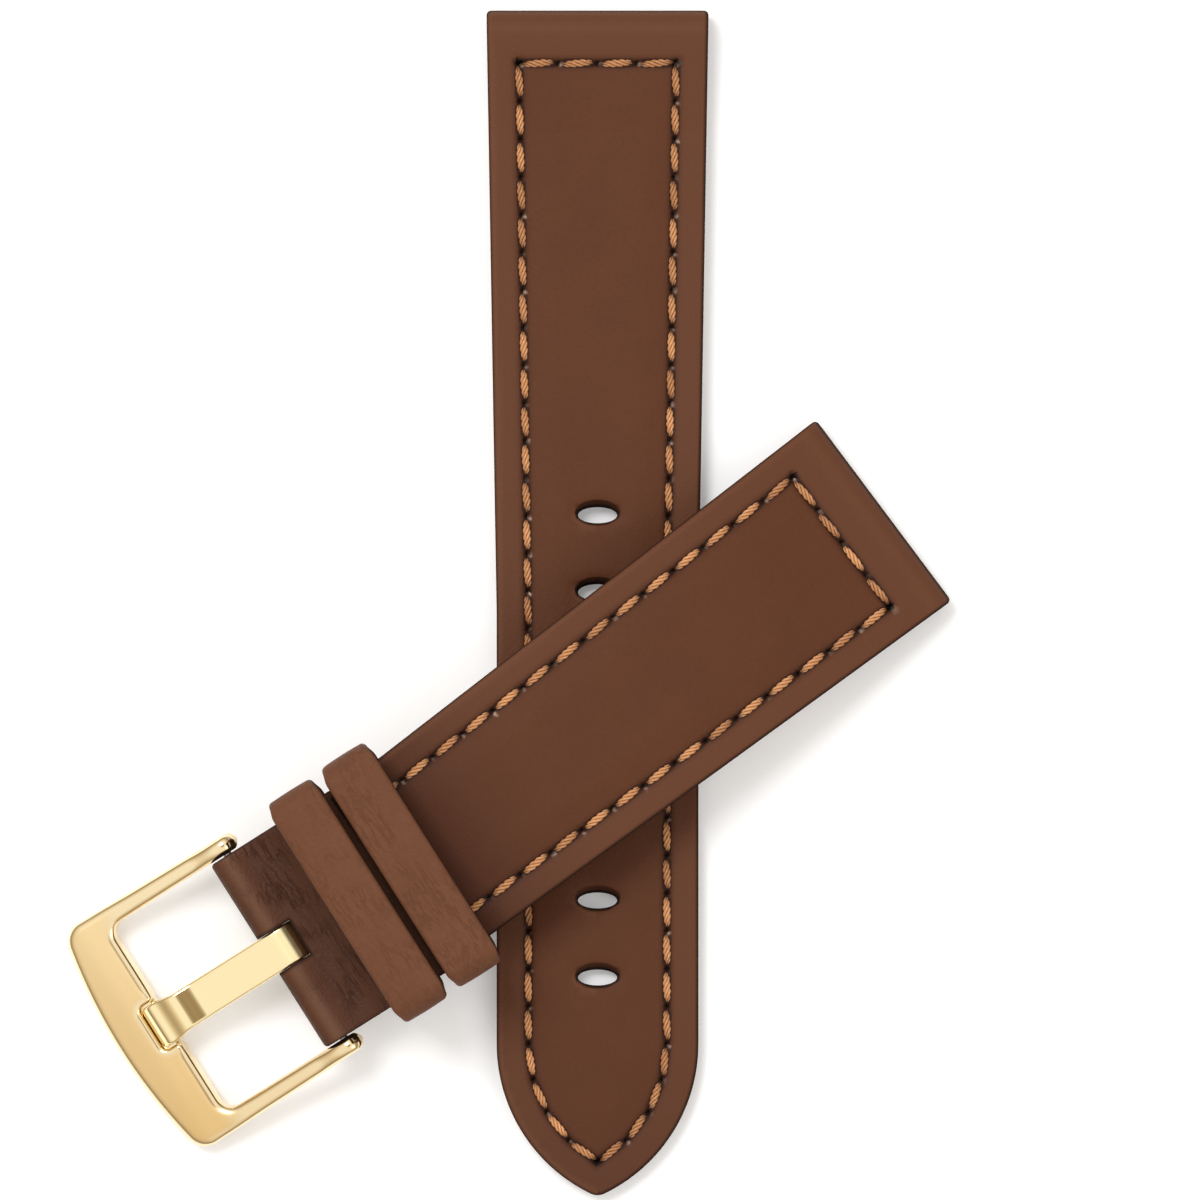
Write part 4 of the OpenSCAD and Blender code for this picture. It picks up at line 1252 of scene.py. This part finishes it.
tongue = {"width": 3.9, "thick": 1.1, "eye": 0.8, "touch": 0.06, "hump": 0.52, "humpLength": 4.9, "nose": 0.4,
          "flare": 0.3, "edgeRound": 0.28, "clear": 0.06, "noseHigh": 0.75, "noseSwell": 0.22,
          "noseNarrow": 0.14}
barSpot = np.array(joint("buckle_swivel")["pos_m"]) / mm


def slopingPlace(origin, pitch):
    p = math.radians(pitch)
    return Place(origin, (-math.cos(p), 0, -math.sin(p)), (0, -1, 0))


tabStart = barSpot - tab["length"] * slopingPlace(barSpot, tab["pitch"]).along
tabPlace = slopingPlace(tabStart, tab["pitch"])
frameHalf = buckle["thick"] / 2
bucklePitch = math.degrees(math.asin(barSpot[2] / math.hypot(buckle["reach"], frameHalf))
                           - math.atan(frameHalf / buckle["reach"]))
bucklePlace = slopingPlace(barSpot, bucklePitch)


# Side view of the tab: as thick as the padded leather at first, thinner near the bar, round it and back
def tabProfile():
    t = tab
    foldR = bar["radius"] + bar["touch"] + t["wrap"]
    half, thin = shortStrap["thick"] / 2, t["thin"] / 2
    xs = np.concatenate([np.linspace(-t["lap"], t["flatEnd"], 12),
                         np.arange(t["flatEnd"] + 0.09, 11.7, 0.09)])
    meet = math.radians(t["meet"])
    meetX, meetZ = t["length"] + foldR * math.cos(meet), foldR * math.sin(meet)
    dip = half + (thin - half) * smooth((xs - t["flatEnd"]) / 2.2)
    lead = np.clip((xs - (meetX - t["meetRun"])) / t["meetRun"], 0, None)
    slope = -t["meetRun"] / math.tan(meet)
    rise = (meetZ - thin) * (3 * lead ** 2 - 2 * lead ** 3) + slope * (lead ** 3 - lead ** 2)
    top = np.c_[xs, dip + rise][xs < meetX - 0.05]
    fold = arcPoints((t["length"], 0), foldR, math.degrees(meet), -math.degrees(meet), 36)
    return np.concatenate([top, fold, (top * [1, -1])[::-1]])


creases = {"wideAlong": 2.5, "wideAcross": 0.13, "wideBend": 1.6, "wide": 0.11,
           "thinAlong": 4.0, "thinAcross": 0.25, "thinBend": 2.2, "thin": 0.14, "thinShare": 0.5}


# Creases that run across the tab, bent and broken up by a slower drift
def creaseDepth(x, y):
    c = creases
    drift = noise.noise(Vector((x * 0.25, y * 0.2, 4.0)))
    patch = min(1, max(0, 0.6 + 1.5 * noise.noise(Vector((x * 0.4, y * 0.3, 17.0)))))
    wide = noise.noise(Vector((x * c["wideAlong"] + c["wideBend"] * drift, y * c["wideAcross"], 0.0)))
    thin = noise.noise(Vector((x * c["thinAlong"] + c["thinBend"] * drift, y * c["thinAcross"], 9.0)))
    return patch * (math.exp(-(wide / c["wide"]) ** 2) + c["thinShare"] * math.exp(-(thin / c["thin"]) ** 2))


def makeTab():
    t = tab
    profile = tabProfile()
    count = len(profile)
    normal = loopNormals(profile)
    half, edge = buckle["inside"] / 2 - t["gap"], t["edgeRound"]
    steps = edge * (1 - np.cos(np.radians([0, 18, 36, 54, 72])))
    ys = np.concatenate([-half + steps, np.linspace(-half + edge, half - edge, 140), (half - steps)[::-1]])
    drops = roundDrop(half - np.abs(ys), edge)
    points, valleys = [], []
    x, z = profile[:, 0], profile[:, 1]
    onTop = (z > 0) & (np.arange(count) < count / 2)
    # painted shade: the creased band a little darker, its valleys darker still
    band = smooth((x - t["bandFrom"]) / 0.6) * smooth((t["bandTo"] - x) / 2.4) * onTop
    for y, drop in zip(ys, drops):
        valley = np.array([b and b * creaseDepth(a, y) for a, b in zip(x, band)])
        valleys.append(t["valleyTone"] * valley + t["bandTone"] * band)
        out = profile - normal * (t["wrinkle"] * valley + drop)[:, None]
        points.append(np.c_[out[:, 0], 0 * x + y, out[:, 1]])
    # the bore for the spring bar, with as many points as the profile
    bore = bar["radius"] + bar["touch"]
    turn = np.unwrap(np.arctan2(z, x - t["length"]))
    turn = np.linspace(turn[0], turn[-1], count) * 0.35 + turn * 0.65
    for y in (-half, half):
        points.append(np.c_[t["length"] + bore * np.cos(turn), 0 * turn + y, bore * np.sin(turn)])
    rows = len(ys)
    faces = [f[:1] + f[:0:-1] for f in skinFaces(rows, count)]
    last, left, right = (rows - 1) * count, rows * count, (rows + 1) * count
    for i in range(count):
        k = (i + 1) % count
        faces += [(left + i, left + k, k, i), (last + i, last + k, right + k, right + i),
                  (right + i, right + k, left + k, left + i)]
    points = np.concatenate(points)
    paintedShade = np.concatenate([*valleys, np.zeros(2 * count)])
    # painted highlight over the fold
    paintedHighlight = bell(points[:, 0] - t["length"] - 0.1, 0.8) * (points[:, 2] > 0.5)
    slotX = t["length"] + bore + t["wrap"] - t["slot"]
    slotHalf = tongue["width"] / 2 + t["slotSide"]
    toSlot = np.hypot(np.maximum(slotX - points[:, 0], 0), np.maximum(np.abs(points[:, 1]) - slotHalf, 0))
    # dark rims: painted shade round the slot and at the start, in the gap between the keepers, and edge paint
    # along the sides
    rim = bell(toSlot, 0.25) + np.clip((np.abs(points[:, 1]) - half + 0.2) / 0.2, 0, 1)
    rim += smooth((0.8 - points[:, 0]) / 0.5)
    piece = solidMesh("shadedTabLeather", points, faces, tabPlace, 40,
                      {"rim": np.clip(rim, 0, 1) * t["rimTone"], "paintedShade": np.clip(paintedShade, 0, 1),
                       "paintedHighlight": paintedHighlight * t["foldHighlight"]})
    box = [(x, y, z) for x in (slotX, 18) for y in (-slotHalf, slotHalf) for z in (-4, 4)]
    boxFaces = [(0, 1, 3, 2), (4, 6, 7, 5), (0, 4, 5, 1), (2, 3, 7, 6), (0, 2, 6, 4), (1, 5, 7, 3)]
    cutAway(piece, solidMesh("cutter", box, boxFaces, tabPlace), 40)
    dress(piece, shadedTabLeather, "short_strap", "short_upper")


makeTab()
print("tab made")


# Keepers, with the sizes given beside the short strap's


def makeKeeper(name, place, room, body, node, seed):
    k = keepers
    w, t, r = k["width"] / 2, k["thick"] / 2, k["edge"]
    half, high = shortStrap["endWidth"] / 2 + k["side"] + t, room + t
    bend = k["round"] - t
    corners = [((half - bend, bend - t), -90), ((half - bend, high - bend), 0),
               ((bend - half, high - bend), 90), ((bend - half, bend - t), 180)]
    loop = evenLoop(np.concatenate([arcPoints(c, bend, a, a + 90, 8) for c, a in corners]), k["step"])
    normal = -loopNormals(loop)
    tilt = -place.along[2] / math.hypot(place.along[0], place.along[1])  # loops stand upright on the slope

    def leanAt(z):
        return tilt * (high - z) - k["forward"]

    section = np.concatenate([
        arcPoints((w - r, t - r), r, 0, 90, 5), [(0.4 * w, t), (0, t), (-0.4 * w, t)],
        arcPoints((r - w, t - r), r, 90, 180, 5), arcPoints((r - w, r - t), r, 180, 270, 5),
        [(-0.4 * w, -t), (0, -t), (0.4 * w, -t)], arcPoints((w - r, r - t), r, 270, 360, 5)])
    onLeg = smooth((np.abs(loop[:, 0]) - half + k["legRun"]) / k["legRun"])
    points = []
    for (y, z), (ny, nz), leg in zip(loop, normal, onLeg):
        over = smooth((z - 2) / 2)
        swell = k["crown"] * max(0, 1 - (y / half) ** 2) * over
        narrow = 1 - k["legNarrow"] * leg + k["spread"] / w * over
        for sx, sn in section:
            out = sn + k["puff"] * (1 - (sx / w) ** 2) * (sn > 0)
            points.append((sx * narrow + leanAt(z), y + ny * out, z + nz * out + swell))
    # dark cut edges, darker towards the inside of the loop: edge paint and painted shade, lighter on the legs
    edge = np.array([(abs(sx) > w - 0.4) * smooth((0.42 - sn) / 0.35) for sx, sn in section] * len(loop))
    tone = np.repeat(k["rimTone"] + (k["legRimTone"] - k["rimTone"]) * onLeg, len(section))
    piece = solidMesh(name, points, skinFaces(len(loop), len(section), closed=True), place, 60,
                      {"rim": edge * tone})
    turnFacesOut(piece)
    dress(piece, keeperLeather, body, node)
    # two stitches underneath, one on each side of the middle
    below, ends = -k["thick"], (-k["stitchLength"] / 2, k["stitchLength"] / 2)
    spots = [(leanAt(below), side * k["stitchAt"] + end, below) for side in (-1, 1) for end in ends]
    sewRow(name + "Stitches", node + "_stitch", body, place, spots, [(0, 0, -1)] * 4,
           {"Seed": seed, "Rise": k["stitchRise"] * mm, "Stitch Gap": 0.0,
            "Thread Width": stitching["backWidth"] * mm}, [(0, 1), (2, 3)])


def fixedKeeperPlace():
    start = tabPlace.put([(keepers["gap"] / 2 + keepers["width"] / 2, 0, -shortStrap["thick"] / 2)])[0] / mm
    return Place(start, tabPlace.along, tabPlace.across)


# On the bow of the short strap, at the angle of its slide's rest
def freeKeeperPlace():
    lean = math.asin((rowEnd - shortStrap["archAt"]) / shortStrap["archRadius"])
    up = np.array([0, 0, 1.0])
    along = shortPlace.along * math.cos(lean) - up * math.sin(lean)
    out = shortPlace.along * math.sin(lean) + up * math.cos(lean)
    # its axes are turned from the short strap's to the frame's own, the ones that the tab has
    turn = math.atan2(shortPlace.along[1], shortPlace.along[0]) % (2 * math.pi) - math.pi
    centre = np.array(joint("free_keeper_slide")["pos_m"]) / mm
    return Place(centre + out * (shortStrap["archRadius"] - keepers["slack"]),
                 along * math.cos(turn) - shortPlace.across * math.sin(turn),
                 along * math.sin(turn) + shortPlace.across * math.cos(turn))


inLoop = shortStrap["thick"] + keepers["room"]
makeKeeper("fixedKeeper", fixedKeeperPlace(), inLoop, "short_strap", "fixed_keeper", 21)
makeKeeper("freeKeeper", freeKeeperPlace(), inLoop + keepers["slack"], "loose_keeper", "free_keeper", 22)
print("keepers made")


# Buckle, with the sizes given beside the tab's

barIn = buckle["reach"] - buckle["barWidth"]
notchHalf = tongue["width"] / 2 + buckle["notchSide"]
notchEnd = barIn + buckle["notch"]


def buckleOutline():
    b = buckle
    half, tip, r = b["inside"] / 2 + b["arm"], b["inside"] / 2, b["armTip"] / 2
    bowR = (half ** 2 + b["bow"] ** 2) / (2 * b["bow"])
    bowX = b["reach"] - bowR
    cy = half - b["corner"]
    cx = bowX + math.sqrt((bowR - b["corner"]) ** 2 - cy ** 2)
    end = math.degrees(math.atan2(cy, cx - bowX))
    lip, deep = b["notchLip"], b["notchRound"]
    outer = np.concatenate([arcPoints((-b["ear"] + r, tip + r), r, 270, 90, 14),
                            arcPoints((cx, cy), b["corner"], 90, end, 12),
                            arcPoints((bowX, 0), bowR, end, 0, 40)])
    inner = np.concatenate([arcPoints((barIn - b["window"], tip - b["window"]), b["window"], 90, 0, 10),
                            arcPoints((barIn + lip, notchHalf + lip), lip, 180, 270, 6),
                            arcPoints((notchEnd - deep, notchHalf - deep), deep, 90, 0, 6)])
    whole = np.concatenate([outer, (outer * [1, -1])[::-1][1:], inner * [1, -1], inner[::-1]])
    return evenLoop(whole[::-1], nets["buckleOutline"])


def makeBuckleFrame():
    b = buckle
    tip, r = b["inside"] / 2, b["edgeRound"]

    def shape(plan, rimGap, crown):
        x, y = plan[:, 0], np.abs(plan[:, 1])
        inArm = smooth((y - tip + 0.3) / 0.3) * smooth((barIn - x) / 4)
        arm = frameHalf + (b["ear"] - frameHalf) * smooth((3.6 - x) / 3.2)
        ear = np.sqrt(np.maximum(b["ear"] ** 2 - x ** 2, 0))
        full = np.where(x < 0, np.maximum(ear, b["earLeast"]), arm)
        soft = b["edgeDrop"] + b["armDrop"] * inArm
        toNotch = np.hypot(np.maximum(y - notchHalf, 0), np.maximum(x - barIn - b["notch"], 0))
        away = smooth((toNotch - 0.1) / 1.6)
        drop = roundDrop(rimGap, b["notchEdge"]) * (1 - away) + roundDrop(rimGap, r) * soft / r * away
        return full - drop - crown * smooth((x - barIn - 2.2) / (b["barWidth"] - 1.8)) * (1 - inArm)

    def topOf(plan, rimGap):
        return shape(plan, rimGap, b["crown"])

    def underOf(plan, rimGap):
        return -shape(plan, rimGap, 0)

    def polish(plan, rimGap, isTop):
        arm = smooth((np.abs(plan[:, 1]) - tip + 0.2) / 0.3) * smooth((barIn - plan[:, 0] + 1) / 3)
        rim = 1 - smooth((rimGap - 0.2) / b["edgePolish"])
        return np.clip(np.maximum(rim, b["armPolish"] * arm), 0, 1)

    piece = planSolid("buckleFrame", bucklePlace, buckleOutline(), [], topOf, underOf, b["edgeRound"],
                      nets["buckle"], sharp=60, masks={"polish": polish})
    rod = rodCutter(bucklePlace, (0, 0, 0), b["pin"] + bar["touch"], b["inside"] + 2 * b["earHole"])
    cutAway(piece, rod, 60)
    dress(piece, goldSatin, "buckle", "buckle_frame")


# The floor of the notch, lower than the bar, that the tongue rests in
def makeBuckleNotch():
    x0, x1, side = barIn + 0.15, notchEnd + 0.3, notchHalf + 0.5

    def topOf(plan, rimGap):
        return buckle["notchFloor"] - 0.2 * bell(plan[:, 0] - barIn, 0.4)

    def underOf(plan, rimGap):
        return -frameHalf + 0.08 + 0.3 * bell(plan[:, 0] - barIn, 0.3)

    def polish(plan, rimGap, isTop):
        return 1 + 0 * rimGap

    outline = evenLoop([(x0, -side), (x1, -side), (x1, side), (x0, side)], nets["buckleOutline"])
    floor = planSolid("buckleNotch", bucklePlace, outline, [], topOf, underOf, 0.1, 0.3,
                      masks={"polish": polish})
    dress(floor, goldSatin, "buckle", "buckle_frame")


# Lower and upper point of the tongue's side view at each station, from round the bar to the nose
def tongueStations():
    t = tongue
    bore = bar["radius"] + t["touch"]
    eye = bore + t["eye"]
    tipFloor, tip = buckle["notchFloor"] + t["clear"], notchEnd - t["clear"]
    under = eye - t["thick"]
    turns = np.radians(np.linspace(-50, -270, 30))
    pairs = [((bore * math.cos(a), bore * math.sin(a)), (eye * math.cos(a), eye * math.sin(a)))
             for a in turns]
    pairs += [((x, under), (x, eye)) for x in np.linspace(0.72, barIn - t["humpLength"], 16)]
    for s in np.linspace(0, 1, 29)[1:]:
        x = barIn - t["humpLength"] * (1 - s)
        lift = t["hump"] * (1 - math.cos(2 * math.pi * s ** 1.2)) / 2
        pairs.append(((x, under + lift), (x + 0.15 * s, eye + lift)))
    lowStart, highStart = np.array(pairs[-1])
    lowEnd, highEnd = np.array([(tip - 0.75, tipFloor), (tip - t["nose"] * 0.6, tipFloor + t["noseHigh"])])
    for s in np.linspace(0, 1, 10)[1:]:
        swell = np.array([0, t["noseSwell"] * math.sin(math.pi * s) * (1 - smooth(s) * 0.2)])
        pairs.append((lowStart * (1 - s) + lowEnd * s, highStart * (1 - s) + highEnd * s + swell))
    pairs.append(((tip - 0.35, tipFloor), (tip - 0.02, tipFloor + 0.45)))
    pairs.append(((tip - 0.15, tipFloor + 0.03), (tip, tipFloor + 0.22)))
    return np.array(pairs), tip


def makeTongue():
    t = tongue
    stations, tip = tongueStations()
    w, r = t["width"] / 2, t["edgeRound"]
    flat = w - r - 0.08
    # heights 0 and 1 stand for the two faces, drawn in by the corner's radius
    section = np.concatenate([arcPoints((w - r, 0), r, -90, 0, 4), arcPoints((w - r, 1), r, 0, 90, 4),
                              [(flat, 1 + r), (0, 1 + r), (-flat, 1 + r)],
                              arcPoints((r - w, 1), r, 90, 180, 4), arcPoints((r - w, 0), r, 180, 270, 4),
                              [(-flat, -r), (0, -r), (flat, -r)]])
    points = []
    for low, high in stations:
        thick = np.linalg.norm(high - low)
        rise = (high - low) / thick
        corner = min(r, thick * 0.45)
        for y, s in section:
            base = np.clip(s, 0, 1)
            x, z = low + rise * (corner + base * (thick - 2 * corner) + (s - base) / r * corner)
            flare = 1 + t["flare"] / w * smooth((x - barIn + 2.2) / 2) * (1 - smooth((x - tip + 0.7) / 0.9))
            flare -= t["noseNarrow"] * smooth((x - tip + 0.45) / 0.45)
            points.append((x, y * flare, z))
    n, count = len(section), len(stations)
    faces = [*skinFaces(count, n), tuple(range(n)), tuple(range(count * n - 1, (count - 1) * n - 1, -1))]
    polish = 0.2 + 0.8 * smooth((np.array(points)[:, 0] - 0.1) / 0.8)
    piece = solidMesh("buckleTongue", points, faces, bucklePlace, 50, {"polish": polish})
    turnFacesOut(piece)
    dress(piece, goldPolished, "tongue", "buckle_tongue")


makeBuckleFrame()
makeBuckleNotch()
makeTongue()
print("buckle made")


# CAD pieces that keep their shape

carried = {"long_core": fillerFelt, "short_core": fillerFelt, "spring_bar_tube": barSteel,
           "spring_bar_plunger_left": barSteel, "spring_bar_plunger_right": barSteel,
           "spring_bar_spring": barSteel}
for name, material in carried.items():
    mesh = frame["nodes"][name].data
    mesh.materials.clear()
    mesh.materials.append(material)


def plain(value):
    if isinstance(value, (int, float)):
        return float(value)
    return [plain(v) for v in value]


{"cad": plain(cadBounds), "visual": plain(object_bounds())}
